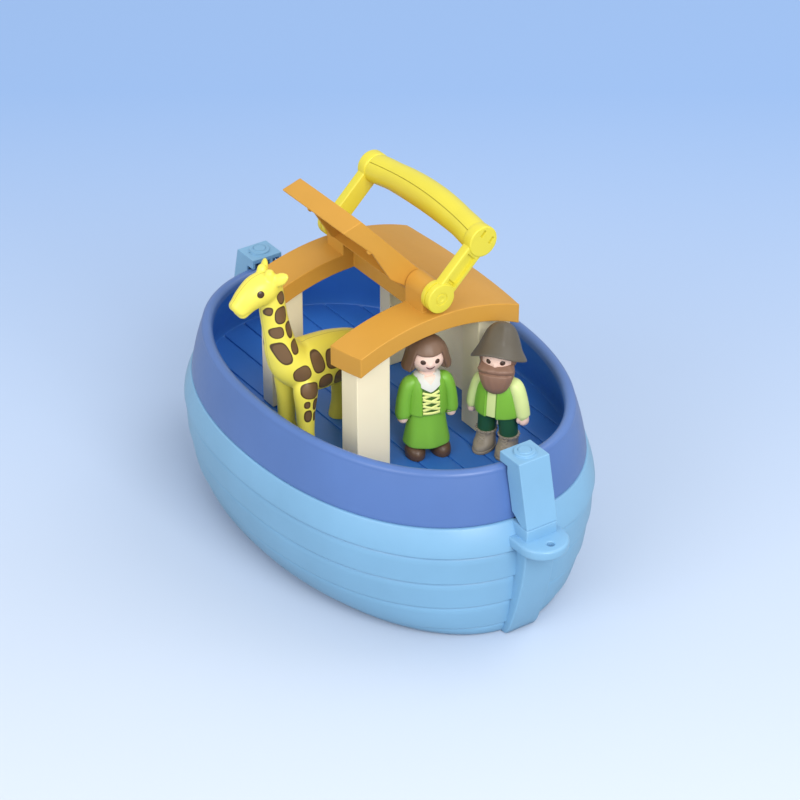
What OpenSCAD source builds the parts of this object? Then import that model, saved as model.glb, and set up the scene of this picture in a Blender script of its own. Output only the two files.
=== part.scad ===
// Toy ark for small children: a planked hull with a deck, a small house with a roof flap,
// a carrying handle hinged on the ridge, and three loose figures that stand on the deck.
// The origin is on the floor under the middle of the hull, with +X to the bow and +Z up.
// All sizes are in millimetres, and angles are in degrees.

/* [Hull] */
// Length of the hull along its top edge, without the stem and stern posts
hull_len = 230.4; // [215:0.2:250]
// Beam of the hull along its top edge
hull_beam = 156.6; // [148:0.2:170]
// Height of the hull's top edge above the floor
hull_h = 63.3; // [58:0.1:70]
// Length of the flat bottom
bottom_len = 206.8; // [190:0.2:214]
// Beam of the flat bottom
bottom_beam = 99; // [85:1:115]
// Wall of the hull
hull_wall = 2.4; // [1.8:0.1:3]
// Height of the lowest plank
first_plank = 7.2; // [6:0.1:9]
// Height of each plank above the lowest one
plank_rise = 14.4; // [13:0.1:16]
// Depth of the lap where a plank covers the one below it
plank_lap = 0.9; // [0.5:0.1:1.3]
// Width of the stem and stern posts
stem_w = 16.3; // [12:0.1:20]
// Reach of the stem and stern posts beyond the hull's top edge
stem_reach = 6.3; // [5:0.1:8]
// Radius of the curved front of the posts
stem_r = 155; // [140:1:220]

/* [Tow plate] */
// Radius of the half-round tow plate
tow_r = 11.8; // [10:0.1:14]
// Thickness of the tow plate
tow_t = 5; // [3:0.1:7]
// Bore of the tow hole
tow_bore = 3.5; // [2.5:0.1:5]
// Distance of the tow hole in front of the stem post
tow_hole_reach = 6; // [4:0.1:7.5]
// Drop of the tow plate below the hull's top edge
tow_drop = 5.8; // [4:0.1:9]

/* [Bulwark ring] */
// Width of the hull's top edge outside the ring, at the bow and stern
ledge_end = 5.2; // [4:0.1:7]
// Width of the hull's top edge outside the ring, at the sides
ledge_side = 2.3; // [1.5:0.1:4]
// Height of the ring
ring_h = 25; // [20:0.5:30]
// Amount by which the ring leans inwards over its height
ring_lean = 5.2; // [3:0.1:7]
// Wall of the ring
ring_wall = 2.4; // [1.8:0.1:3]
// Width of the rounded rim
rim_w = 5.4; // [5:0.1:7]

/* [Deck] */
// Drop of the deck below the hull's top edge
deck_drop = 4.2; // [3:0.1:6]
// Thickness of the deck
deck_t = 2.4; // [1.8:0.1:3]
// Width of a deck plank
deck_plank = 14; // [10:0.5:18]
// Distance of the middle groove from the ark's middle
deck_shift = 1.8; // [0:0.1:7]
// Width of the groove between two deck planks
groove_w = 0.9; // [0.5:0.1:1.5]
// Depth of the groove between two deck planks
groove_d = 0.7; // [0.4:0.1:1]

/* [End caps] */
// Height of the caps above the rim of the ring
cap_rise = 5.4; // [4.5:0.1:7]
// Length of a cap's flat top
cap_top_len = 14.2; // [13:0.1:16]
// Overhang of a cap behind the outer edge of the rim
cap_hook = 4.6; // [4:0.1:5]
// Wall of a cap
cap_wall = 1.5; // [1.2:0.1:2]
// Diameter of the stud on a cap
stud_d = 9.8; // [8:0.1:12]
// Height of the stud on a cap
stud_h = 1.6; // [1:0.1:2.5]

/* [House] */
// Length of the house over its posts
house_len = 79.2; // [74:0.2:82]
// Breadth of the house over its posts
house_w = 82.5; // [78:0.5:83]
// Height of the doorways from the deck to the crown of the arch
house_h = 64.1; // [60:0.1:72]
// Breadth of each post
post_w = 17.4; // [14:0.1:20]
// Depth of the bow posts
bow_post_t = 12.6; // [9:0.1:12.8]
// Depth of the stern posts
stern_post_t = 8.5; // [6:0.1:11]
// Thickness of the back wall
back_wall_t = 2; // [1.5:0.1:3]

/* [Roof] */
// Overhang of the roof beyond the posts at the bow and stern
roof_over = 5; // [4.4:0.1:7]
// Overhang of the roof's corners beyond the posts at the sides
eave_over = 1.2; // [0.8:0.1:3]
// Bulge of each eave at its middle
eave_bulge = 4.4; // [3:0.1:6]
// Depth of the roof's edge at the ridge
roof_t = 8.2; // [7:0.1:10]
// Radius of the arch on top
roof_r = 111; // [100:1:125]
// Radius of the arch under the edges
arch_r = 96; // [88:1:100]
// Thickness of the roof's skin
roof_skin = 2.4; // [1.8:0.1:3]
// Thickness of the roof's edges
roof_skirt = 1.8; // [1.4:0.1:2]
// Length of the opening for the flap
opening_len = 49.6; // [46:0.2:50]

/* [Roof flap] */
// Distance of the hinge axis above the ridge
hinge_rise = 8; // [7.6:0.1:10]
// Radius of the flap's knuckle
knuckle_r = 5.5; // [5:0.1:6]
// Distance of the flap's lower edge from the hinge axis, across the roof
flap_reach = 44.5; // [42:0.1:46]
// Drop of the flap's lower edge below the hinge axis
flap_drop = 26.5; // [25:0.1:28]
// Depth of the flap's edge at the eave
flap_edge = 9.4; // [8:0.1:11]
// Angle from closed at which the flap stands
flap_open = 73.6; // [0:0.1:85]

/* [Handle] */
// Distance of the grip's axis from the hinge axis
arm_len = 31; // [28:0.5:36]
// Breadth of the arms
arm_w = 9.2; // [7:0.1:11]
// Thickness of the arms
arm_t = 4.8; // [4:0.1:6]
// Radius of the eyes
eye_r = 6.9; // [6:0.1:7.4]
// Radius of the round heads that join the arms to the grip
head_r = 7.3; // [6.5:0.1:8]
// Radius of the grip at its middle
grip_r = 7.2; // [6:0.1:8]
// Radius of the grip at its ends
grip_end_r = 5.8; // [5:0.1:6.4]
// Outward bow of the grip at its middle
grip_bow = 3; // [0:0.1:5]
// Angle from upright at which the handle stands
handle_tilt = 46; // [0:0.5:94]

/* [Hinge pins] */
// Diameter of the pins
pin_d = 4; // [3:0.1:5]
// Length of each pin inside the flap
pin_in_flap = 6.5; // [5:0.1:9]
// Outer radius of the bosses on the roof
boss_r = 5.9; // [5.5:0.1:6.4]
// Distance of the handle's eyes behind the roof's ends
eye_back = 0.1; // [0.1:0.1:2]

/* [Fits] */
// Radial clearance of a pin in a bore that turns on it
run_gap = 0.05; // [0.02:0.01:0.09]
// Radial clearance of a pin that is fixed in its bore
fixed_gap = 0.01; // [0.005:0.005:0.02]
// Clearance between pieces that move past each other
side_gap = 0.3; // [0.2:0.05:0.5]
// Clearance between fixed pieces with curved faces
seat_gap = 0.15; // [0.1:0.05:0.25]

/* [Figures] */
// Place of the giraffe's front feet along the ark
giraffe_x = -1.4; // [-4:0.1:4]
// Distance of the giraffe's front feet to the left of the middle
giraffe_out = 47.5; // [47.5:0.1:50]
// Place of the woman along the ark
woman_x = 38.5; // [37:0.5:42]
// Distance of the woman to the left of the middle
woman_out = 3.5; // [2:0.5:7]
// Direction that the woman looks in, from the left side towards the bow
woman_turn = 73; // [60:1:90]
// Turn of the woman's head on her body
woman_look = -12; // [-25:1:25]
// Place of the man along the ark
man_x = 55; // [54:0.5:60]
// Distance of the man to the right of the middle
man_out = 24; // [20:0.5:26]
// Direction that the man looks in, from the left side towards the bow
man_turn = 28; // [20:1:50]
// Turn of the man's head on the body
man_look = 13; // [-25:1:25]
// Lean of the hat towards the back of the head
hat_tilt = 32; // [20:1:36]

/* [Hidden] */
$fn = 48;

hull_blue = "#8fc0e8";
ring_blue = "#6a8cca";
deck_blue = "#2a60a8";
cream = "#f0e4c8";
orange = "#e0a24a";
yellow = "#f4e85c";
brown = "#7a5c48";
skin = "#f0d2c0";
leaf_green = "#78b43c";
dark_green = "#1e4b2d";
hat_grey = "#6a6458";
boot_grey = "#8c7d6e";
steel = "silver";

// Points around a plan outline, and the two exponents that shape it
plan_steps = 72;
plan_bow = 0.937;
plan_side = 0.894;
// Shape of the hull's side as it rises, lengthwise and across
rise_len = 1.55;
rise_beam = 2.65;
// A length that passes right through any piece
through = 400;
// Sides of a figure's limbs
limb_sides = 20;

deck_z = hull_h - deck_drop;
tub_z = deck_z - deck_t;
ring_a = hull_len/2 - ledge_end;
ring_b = hull_beam/2 - ledge_side;
rim_r = rim_w/2;
rim_z = hull_h + ring_h - rim_r;
rim_top = hull_h + ring_h;
lip_h = 1.6;
tub_a = ring_a - ring_wall - seat_gap;
tub_b = ring_b - ring_wall - seat_gap;
tub_wall = rim_w - ring_wall - 2*seat_gap;
shelf_w = 6;
shelf_t = 1.6;
stem_x = hull_len/2 + stem_reach;

roof_len = house_len + 2*roof_over;
roof_w = house_w + 2*eave_over;
crown_z = deck_z + house_h;
ridge_z = crown_z + roof_t;
hinge_z = ridge_z + hinge_rise;
roof_axis_z = ridge_z - roof_r;
arch_axis_z = crown_z - arch_r;
eave_r = (pow(roof_len/2, 2) + pow(eave_bulge, 2)) / (2*eave_bulge);
eave_y = roof_w/2 + eave_bulge;
flap_len = opening_len - 2*side_gap;
eye_t = 6.2;
eye_in = roof_len/2 - eye_back - eye_t;
boss_end = eye_in - side_gap;
boss_len = boss_end - opening_len/2;
eye_step = 0.7;
arm_in = eye_in + eye_step;
pin_in = flap_len/2 - pin_in_flap;

// Half-length and half-beam of the hull's side at a height
function hull_rise(from, to, z, power) =
    from + (to - from)*pow(1 - pow(1 - min(max(z/hull_h, 0), 1), power), 1/power);
function hull_a(z) = hull_rise(bottom_len/2, hull_len/2, z, rise_len);
function hull_b(z) = hull_rise(bottom_beam/2, hull_beam/2, z, rise_beam);

// Plan outline of half-length a and half-beam b at a height
function outline(a, b, z) = [
    for (i = [0:plan_steps - 1])
        let (c = cos(360*i/plan_steps), s = sin(360*i/plan_steps))
        [a*sign(c)*pow(abs(c), plan_bow), b*sign(s)*pow(abs(s), plan_side), z]
];
// Half-length of that outline at a distance to one side
function outline_x(a, b, y) = a*pow(1 - pow(abs(y)/b, 2/plan_side), plan_bow/2);

// Faces between ring k and the next one, for rings of n points
function skin_faces(k, next, n) = [
    for (i = [0:n - 1])
        let (j = (i + 1)%n)
        each [[k*n + i, next*n + i, next*n + j], [k*n + i, next*n + j, k*n + j]]
];

// Solid skinned over a list of rings, closed by its first and last ring
module loft(rings) {
    n = len(rings[0]);
    last = len(rings) - 1;
    polyhedron(
        points = [for (r = rings) each r],
        faces = concat(
            [[for (i = [0:n - 1]) i]],
            [for (k = [0:last - 1]) each skin_faces(k, k + 1, n)],
            [[for (i = [n - 1:-1:0]) last*n + i]]
        )
    );
}

// Solid skinned over a list of rings whose last ring joins the first
module loop_loft(rings) {
    n = len(rings[0]);
    m = len(rings);
    polyhedron(
        points = [for (r = rings) each r],
        faces = [for (k = [0:m - 1]) each skin_faces(k, (k + 1)%m, n)]
    );
}

// Rings of ellipses along a path in the YZ plane: each stop is [y, z, half-depth, half-width]
function path_way(p, i) =
    let (a = p[max(i - 1, 0)], b = p[min(i + 1, len(p) - 1)], d = [b[0] - a[0], b[1] - a[1]])
    d/norm(d);
function tube(p) = [
    for (i = [0:len(p) - 1])
        let (w = path_way(p, i))
        [
            for (k = [0:limb_sides - 1])
                let (c = cos(360*k/limb_sides), s = sin(360*k/limb_sides))
                [p[i][3]*c, p[i][0] + p[i][2]*s*w[1], p[i][1] - p[i][2]*s*w[0]]
        ]
];
// The same with level rings, for shapes that stand upright
function stack(p) = [
    for (q = p) [
        for (k = [0:limb_sides - 1])
            [q[3]*cos(360*k/limb_sides), q[0] + q[2]*sin(360*k/limb_sides), q[1]]
    ]
];

// Cylinder along X from x0 to x1
module bar(r, x0, x1) {
    translate([x0, 0, 0]) rotate([0, 90, 0]) cylinder(r = r, h = x1 - x0);
}

// Hull: lapped planks outside, a plain shell inside with a shelf for the deck
plank_edges = concat([0], [for (z = [first_plank:plank_rise:hull_h - plank_rise/2]) z], [hull_h]);
plank_steps = [0, 0.3, 0.65, 1];

function plank_rings() = [
    for (k = [0:len(plank_edges) - 2], f = plank_steps)
        let (
            z = plank_edges[k] + f*(plank_edges[k + 1] - plank_edges[k]),
            proud = plank_lap*(1 - f)
        )
        outline(hull_a(z) + proud, hull_b(z) + proud, z)
];
function inner_rings() = [
    for (z = [tub_z - shelf_t - shelf_w, hull_h*0.45, hull_h*0.28, hull_h*0.16, hull_h*0.09, hull_wall])
        let (in = hull_wall*min(1, (z - hull_wall)/12))
        outline(hull_a(z - hull_wall) - in, hull_b(z - hull_wall) - in, z)
];
function shelf_rings() = [
    outline(tub_a + seat_gap, tub_b + seat_gap, hull_h),
    outline(tub_a + seat_gap, tub_b + seat_gap, tub_z),
    outline(tub_a - shelf_w, tub_b - shelf_w, tub_z),
    outline(tub_a - shelf_w, tub_b - shelf_w, tub_z - shelf_t)
];

// Side view of a stem post: a curved front, and a back that lies inside the hull's wall
stem_steps = 8;
function stem_front(z) = stem_x - stem_r + sqrt(pow(stem_r, 2) - pow(hull_h - z, 2));
function stem_side() = concat(
    [for (i = [0:stem_steps]) let (z = hull_h*i/stem_steps) [stem_front(z), z]],
    [for (i = [stem_steps:-1:0]) let (z = hull_h*i/stem_steps) [hull_a(z) - hull_wall/2, z]]
);

module stem() {
    translate([0, stem_w/2, 0]) rotate([90, 0, 0]) linear_extrude(stem_w) polygon(stem_side());
}

module tow_plate() {
    z = hull_h - tow_drop - tow_t;
    hull_x = hull_len/2 - hull_wall/2;
    difference() {
        union() {
            translate([stem_x, 0, z]) cylinder(r = tow_r, h = tow_t);
            translate([hull_x, -tow_r, z]) cube([stem_x - hull_x, 2*tow_r, tow_t]);
        }
        translate([hull_x - through/2, -through/2, -1]) cube([through/2, through, through]);
    }
}

module hull() {
    color(hull_blue) difference() {
        union() {
            loft(concat(plank_rings(), shelf_rings(), inner_rings()));
            stem();
            mirror([1, 0, 0]) stem();
            tow_plate();
        }
        translate([stem_x + tow_hole_reach, 0, -1]) cylinder(d = tow_bore, h = hull_h);
    }
}

// Bulwark ring: a leaning wall with a rounded rim that laps over the deck's wall
rim_steps = 8;
ring_belly = 0.6;
function ring_profile() = concat(
    [[0, hull_h], [ring_belly - ring_lean/2, (hull_h + rim_z)/2]],
    [
        for (i = [0:rim_steps])
            let (w = 180*i/rim_steps)
            [-ring_lean - rim_r + rim_r*cos(w), rim_z + rim_r*sin(w)]
    ],
    [
        [-ring_lean - rim_w, rim_z - lip_h],
        [-ring_lean - ring_wall, rim_z - lip_h],
        [-ring_wall, hull_h]
    ]
);

module bulwark_ring() {
    color(ring_blue) loop_loft([for (p = ring_profile()) outline(ring_a + p[0], ring_b + p[0], p[1])]);
}

// Deck: a tub with leaning walls, and grooves between the planks of its floor
tub_top = rim_z - lip_h - seat_gap;
function tub_lean(z) = -ring_lean*max(0, z - hull_h)/(rim_z - lip_h - hull_h);
function tub_rings() = concat(
    [for (z = [tub_z, hull_h, tub_top]) outline(tub_a + tub_lean(z), tub_b + tub_lean(z), z)],
    [
        for (z = [tub_top, hull_h, deck_z])
            outline(tub_a - tub_wall + tub_lean(z), tub_b - tub_wall + tub_lean(z), z)
    ]
);

module deck() {
    floor_a = tub_a - tub_wall;
    floor_b = tub_b - tub_wall;
    rows = floor((floor_b - deck_shift - deck_plank/4)/deck_plank);
    color(deck_blue) difference() {
        loft(tub_rings());
        for (k = [-rows:rows]) {
            y = k*deck_plank + deck_shift;
            half = outline_x(floor_a, floor_b, abs(y) + groove_w) - groove_w;
            translate([-half, y - groove_w/2, deck_z - groove_d]) cube([2*half, groove_w, 2*groove_d]);
        }
    }
}

// End cap: a hollow clip that stands on the stem post and hooks over the rim
cap_z = rim_top + cap_rise;
cap_back = ring_a - ring_lean - cap_hook;
cap_clear = 0.3;
cap_land = 4.6;
cap_lift = 4.6;
function cap_face(z) =
    cap_back + cap_top_len + (stem_x - cap_back - cap_top_len)*(cap_z - z)/(cap_z - hull_h);
function ring_face(z) = ring_a + cap_clear + ring_belly - ring_lean*(z - hull_h)/(rim_z - hull_h);
function cap_side() = [
    [cap_back, cap_z],
    [cap_face(cap_z), cap_z],
    [cap_face(hull_h), hull_h],
    [cap_face(hull_h) - cap_land, hull_h],
    [ring_face(hull_h + cap_lift), hull_h + cap_lift],
    [ring_face(rim_z), rim_z],
    [ring_face(rim_z), rim_top + cap_clear],
    [cap_back, rim_top + cap_clear]
];
cap_roof = 2.4;
function cap_pocket() = [
    [cap_back - 1, cap_z - cap_roof],
    [cap_face(cap_z) - cap_wall, cap_z - cap_roof],
    [cap_face(hull_h + 2*cap_lift) - cap_wall, hull_h + 2*cap_lift],
    [ring_face(hull_h + 2*cap_lift) - 1, hull_h + 2*cap_lift],
    [ring_face(rim_z) - 1, rim_z],
    [ring_face(rim_z) - 1, rim_top],
    [cap_back - 1, rim_top]
];
cap_slots = 3;
stud_x = cap_back + cap_top_len/2;
stud_step = 0.7;
stud_top = 0.62;

module cap_slice(y, w, side) {
    translate([0, y + w, 0]) rotate([90, 0, 0]) linear_extrude(w) polygon(side);
}

module end_cap() {
    slot_w = (stem_w - (cap_slots + 1)*cap_wall)/cap_slots;
    difference() {
        cap_slice(-stem_w/2, stem_w, cap_side());
        for (k = [0:cap_slots - 1])
            cap_slice(-stem_w/2 + cap_wall + k*(slot_w + cap_wall), slot_w, cap_pocket());
    }
    translate([stud_x, 0, cap_z]) cylinder(d = stud_d, h = stud_h*stud_step);
    translate([stud_x, 0, cap_z]) cylinder(d = stud_d*stud_top, h = stud_h);
}

module bow_cap() {
    color(hull_blue) end_cap();
}

module stern_cap() {
    color(hull_blue) mirror([1, 0, 0]) end_cap();
}

// House: posts and a back wall whose tops follow the underside of the roof
module under_roof() {
    intersection() {
        children();
        translate([0, 0, roof_axis_z]) bar(roof_r - roof_skin - seat_gap, -through/2, through/2);
    }
}

module post(x, t, y) {
    color(cream) under_roof() translate([x, y, deck_z]) cube([t, post_w, through/4]);
}

module bow_left_post() {
    post(house_len/2 - bow_post_t, bow_post_t, -house_w/2);
}

module bow_right_post() {
    post(house_len/2 - bow_post_t, bow_post_t, house_w/2 - post_w);
}

module stern_left_post() {
    post(-house_len/2, stern_post_t, -house_w/2);
}

module stern_right_post() {
    post(-house_len/2, stern_post_t, house_w/2 - post_w);
}

module back_wall() {
    from = -house_len/2 + stern_post_t;
    to = house_len/2 - bow_post_t;
    color(cream) under_roof() translate([from, house_w/2 - back_wall_t, deck_z])
        cube([to - from, back_wall_t, through/4]);
}

// Roof: an arched shell with bulging eaves, an opening on the left and two hinge bosses
module eaves(inset) {
    intersection() {
        translate([-roof_len/2 + inset, -through/2, 0]) cube([roof_len - 2*inset, through, through]);
        translate([0, eave_y - eave_r, 0]) cylinder(r = eave_r - inset, h = through);
        translate([0, eave_r - eave_y, 0]) cylinder(r = eave_r - inset, h = through);
    }
}

module arch(z, r) {
    translate([0, 0, z]) bar(r, -through/2, through/2);
}

module opening(grow) {
    translate([-opening_len/2 - grow, -through/2, 0])
        cube([opening_len + 2*grow, through/2 + grow, through]);
}

module boss() {
    translate([0, 0, hinge_z]) bar(boss_r, opening_len/2, boss_end);
    translate([opening_len/2, -boss_r, ridge_z - roof_skin + seat_gap])
        cube([boss_len, 2*boss_r, hinge_rise + roof_skin - seat_gap]);
}

module roof() {
    color(orange) difference() {
        union() {
            difference() {
                intersection() {
                    eaves(0);
                    arch(roof_axis_z, roof_r);
                }
                arch(arch_axis_z, arch_r);
                difference() {
                    intersection() {
                        eaves(roof_skirt);
                        arch(roof_axis_z, roof_r - roof_skin);
                    }
                    opening(roof_skirt);
                }
            }
            boss();
            mirror([1, 0, 0]) boss();
        }
        opening(0);
        translate([0, 0, hinge_z]) bar(pin_d/2 + fixed_gap, -through/2, through/2);
    }
}

// Hinge pins: fixed in the bosses, and free in the handle's eyes and the flap's knuckle
module pivot_pin() {
    translate([0, 0, hinge_z]) bar(pin_d/2, pin_in, eye_in + eye_t - side_gap);
}

module bow_pivot_pin() {
    color(steel) pivot_pin();
}

module stern_pivot_pin() {
    color(steel) mirror([1, 0, 0]) pivot_pin();
}

// Roof flap, drawn closed about its hinge axis: a shell with a rounded knuckle
// The skin runs into the knuckle a little below its round
knuckle_proud = 0.5;
skin_r = knuckle_r - knuckle_proud;
flap_pitch = atan((flap_drop - flap_edge + skin_r)/flap_reach);
flap_lean = 1.4;
flap_wall = 1.8;
flap_skin = 2.4;
flap_top_y = -flap_reach - flap_lean;
flap_top_z = flap_edge - flap_drop;
// Bends of the flap's underside, as shares of its reach and drop
flap_bend = [0.58, 0.6];
flap_knee = [0.18, 0.43];
nub_place = [0.62, 0.62];
function flap_side() = [
    [-skin_r*sin(flap_pitch), skin_r*cos(flap_pitch)],
    [flap_top_y, flap_top_z],
    [-flap_reach, -flap_drop],
    [-flap_reach*flap_bend[0], -flap_drop*flap_bend[1]],
    [-flap_reach*flap_knee[0], -flap_drop*flap_knee[1]],
    [0, -skin_r]
];
function flap_line(y) =
    flap_top_z + (y - flap_top_y)*(skin_r*cos(flap_pitch) - flap_top_z)
    /(-skin_r*sin(flap_pitch) - flap_top_y);
function flap_pocket() =
    let (far = -flap_reach + flap_wall, near = -knuckle_r - flap_wall, drop = flap_skin/cos(flap_pitch))
    [
        [near, flap_line(near) - drop],
        [far, flap_line(far) - drop],
        [far, -2*flap_drop],
        [near, -2*flap_drop]
    ];
nub_r = 1.5;
nub_len = 1.2;

module flap_slice(half, side) {
    translate([-half, 0, 0]) rotate([90, 0, 90]) linear_extrude(2*half) polygon(side);
}

module flap_closed() {
    difference() {
        intersection() {
            union() {
                flap_slice(flap_len/2, flap_side());
                bar(knuckle_r, -flap_len/2, flap_len/2);
            }
            translate([0, eave_r - flap_reach - flap_lean, -through/2]) cylinder(r = eave_r, h = through);
        }
        flap_slice(flap_len/2 - flap_wall, flap_pocket());
        bar(pin_d/2 + run_gap, -through/2, -pin_in + side_gap);
        bar(pin_d/2 + run_gap, pin_in - side_gap, through/2);
    }
    for (s = [-1, 1])
        translate([s*(flap_len/2 - flap_wall/2), -flap_reach*nub_place[0], -flap_drop*nub_place[1]])
            bar(nub_r, -nub_len/2, nub_len/2);
}

module roof_flap() {
    color(orange) translate([0, 0, hinge_z]) rotate([-flap_open, 0, 0]) flap_closed();
}

// Handle, drawn upright about the hinge axis: eyes, arms, round heads and a two-piece grip
grip_steps = 12;
grip_sides = 12;
grip_half = arm_in;
seam_gap = 0.1;
eye_groove_w = 0.8;
eye_groove_d = 1;
channel_d = 1.5;
channel_w = 4.2;
channel_start = 3;
head_step = 0.6;
head_slot_y = 3;
head_slot_w = 1.2;
head_slot_h = 3.2;
function grip_z(x) = arm_len + grip_bow*(1 - pow(x/grip_half, 2));
function grip_section_r(x) = grip_r - (grip_r - grip_end_r)*pow(x/grip_half, 2);
// Half of the grip on one side of its seam: 1 for the outer half, -1 for the inner half
function grip_rings(side) = [
    for (i = [0:grip_steps])
        let (x = grip_half*(2*i/grip_steps - 1), r = grip_section_r(x))
        [
            for (k = [0:grip_sides])
                let (w = 180*k/grip_sides)
                [x, side*r*cos(w), grip_z(x) + side*(seam_gap/2 + r*sin(w))]
        ]
];

module handle_arm() {
    difference() {
        union() {
            bar(eye_r, eye_in, eye_in + eye_t);
            translate([arm_in, -arm_w/2, 0]) cube([arm_t, arm_w, arm_len]);
            translate([0, 0, arm_len]) bar(head_r, arm_in, arm_in + arm_t + head_step);
        }
        bar(pin_d/2 + run_gap, -through/2, through/2);
        difference() {
            bar(eye_r + 1, eye_in + eye_t/2 - eye_groove_w/2, eye_in + eye_t/2 + eye_groove_w/2);
            bar(eye_r - eye_groove_d, 0, through/2);
            translate([0, -through/2, 0]) cube(through);
        }
        translate([arm_in + arm_t - channel_d, -channel_w/2, eye_r + channel_start])
            cube([through, channel_w, arm_len - head_r - eye_r - channel_start]);
        for (s = [-1, 1])
            translate([arm_in + arm_t - channel_d, s*head_slot_y - head_slot_w/2, arm_len + 1])
                cube([through, head_slot_w, head_slot_h]);
    }
}

module handle_upright() {
    handle_arm();
    mirror([1, 0, 0]) handle_arm();
    loft(grip_rings(-1));
}

module handle_frame() {
    color(yellow) translate([0, 0, hinge_z]) rotate([-handle_tilt, 0, 0]) handle_upright();
}

module grip_cover() {
    color(yellow) translate([0, 0, hinge_z]) rotate([-handle_tilt, 0, 0]) loft(grip_rings(1));
}

// Giraffe, facing -Y from its front feet: stops are [y, z, half-depth, half-width]
giraffe_trunk = [
    [38.5, 34, 2, 3], [37, 34.5, 7.6, 7.6], [31, 36, 11.4, 10.6], [19, 38, 12.6, 11.8], [8, 38.6, 13, 12],
    [-1.3, 42.6, 10.8, 11], [-6.1, 49.6, 8, 9.2], [-8.3, 58, 6.6, 7.4], [-10, 67, 6.1, 6.4],
    [-11.4, 77, 6, 6], [-11.8, 84, 5.6, 5.6]
];
giraffe_head = [
    [-5.6, 85, 2, 2.4], [-7.4, 85.2, 5.4, 5.2], [-12.5, 85, 7.4, 7], [-18.5, 84.2, 7.5, 7],
    [-23.5, 81.8, 6.3, 6], [-27, 79, 5.3, 5.1], [-29.3, 77.4, 4.8, 4.5], [-30.3, 76.6, 3, 2.9]
];
giraffe_leg = [
    [0, 0, 5.3, 4.9], [-0.2, 2, 5.2, 4.8], [0, 8, 4.1, 4], [0.2, 20, 4.5, 4.4],
    [0.4, 32, 6, 5.6], [0.5, 38, 5, 5]
];
giraffe_ear = [[0, -3, 2.4, 1.6], [0, 1.2, 3, 1.8], [0, 4, 2.6, 1.5], [0, 6.2, 1.4, 0.9], [0, 7, 0.5, 0.4]];
ear_x = 5.4;
ear_y = -12.4;
ear_z = 89.4;
ear_tilt = 50;
ear_back = 30;
giraffe_track = 8;
giraffe_stride = 29;
horn_r = 1.8;
horn_x = 3;
horn_y = -13.8;
horn_foot_z = 85;
horn_z = 92.6;
horn_knob = 0.3;

module giraffe() {
    color(yellow) translate([giraffe_x, -giraffe_out, deck_z]) {
        loft(tube(giraffe_trunk));
        loft(tube(giraffe_head));
        for (x = [-giraffe_track, giraffe_track], y = [0, giraffe_stride])
            translate([x, y, 0]) loft(stack(giraffe_leg));
        for (s = [-1, 1]) {
            translate([s*horn_x, horn_y, horn_foot_z]) cylinder(r = horn_r, h = horn_z - horn_foot_z);
            translate([s*horn_x, horn_y, horn_z]) sphere(r = horn_r + horn_knob);
            translate([s*ear_x, ear_y, ear_z]) rotate([0, s*ear_tilt, s*ear_back]) loft(stack(giraffe_ear));
        }
    }
}

// Woman, facing -Y
woman_skirt = [
    [0, 6, 8, 10.2], [0, 7.4, 8.6, 10.9], [0, 15, 8, 10], [0, 23.5, 7, 8.8],
    [0, 23.5, 7.8, 9.4], [0, 30, 7.6, 9.2], [0, 36.2, 6.8, 8.6], [0, 40.2, 5.4, 7], [0, 41.8, 4, 4.8]
];
// Arm hanging outwards from a shoulder, and the place of its hand
woman_arm = [[-5.4, 38.4, 2.4, 3.2], [-8.4, 36.6, 3.4, 3.9], [-10.4, 30, 3.4, 3.9], [-11, 21.4, 3.4, 3.8]];
woman_hand = [-11.2, 20];
hand_r = 2.9;
neck_r = 3.8;
neck_h = 4;
woman_neck_z = 41.8;
woman_head_z = 49.8;
woman_head_r = 7.8;
woman_bob = [
    [1, 46.2, 8.8, 11.2], [1, 47.4, 9.3, 11.6], [0.8, 51, 9.5, 10.7], [0.6, 55, 8.3, 9.2], [0.4, 58.3, 5.6, 6.2],
    [0.3, 60.1, 2, 2.2]
];
hair_grip = 0.4;
face_w = 13.2;
fringe_y = 2.6;
fringe_rise = 3.4;
shoe = [[0, 0, 6.2, 4.6], [0, 3, 6.6, 5], [0.4, 5, 5.6, 4.4], [1, 6, 3.6, 3.4]];
shoe_x = 6.4;
shoe_y = -2;

module stand(x, y, turn) {
    translate([x, y, deck_z]) rotate([0, 0, turn]) children();
}

module woman_place() {
    stand(woman_x, -woman_out, woman_turn) children();
}

module arms(path, hand) {
    for (s = [-1, 1])
        rotate([0, 0, s*90]) {
            loft(tube(path));
            translate([0, hand[0], hand[1]]) sphere(r = hand_r);
        }
}

module woman_body() {
    color(leaf_green) woman_place() {
        loft(stack(woman_skirt));
        arms(woman_arm, woman_hand);
    }
}

module woman_head() {
    color(skin) woman_place() {
        translate([0, 0, woman_head_z]) sphere(r = woman_head_r);
        translate([0, 0, woman_neck_z]) cylinder(r = neck_r, h = neck_h);
    }
}

module woman_hair() {
    color(brown) woman_place() rotate([0, 0, woman_look]) difference() {
        loft(stack(woman_bob));
        translate([0, 0, woman_head_z]) sphere(r = woman_head_r + seat_gap);
        translate([0, 0, woman_neck_z])
            cylinder(r = woman_head_r - hair_grip, h = woman_head_z - woman_neck_z);
        translate([-face_w/2, -through/2 - fringe_y, 0])
            cube([face_w, through/2, woman_head_z + fringe_rise]);
    }
}

module woman_shoes() {
    color(brown) woman_place() for (s = [-1, 1]) translate([s*shoe_x, shoe_y, 0]) loft(stack(shoe));
}

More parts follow.
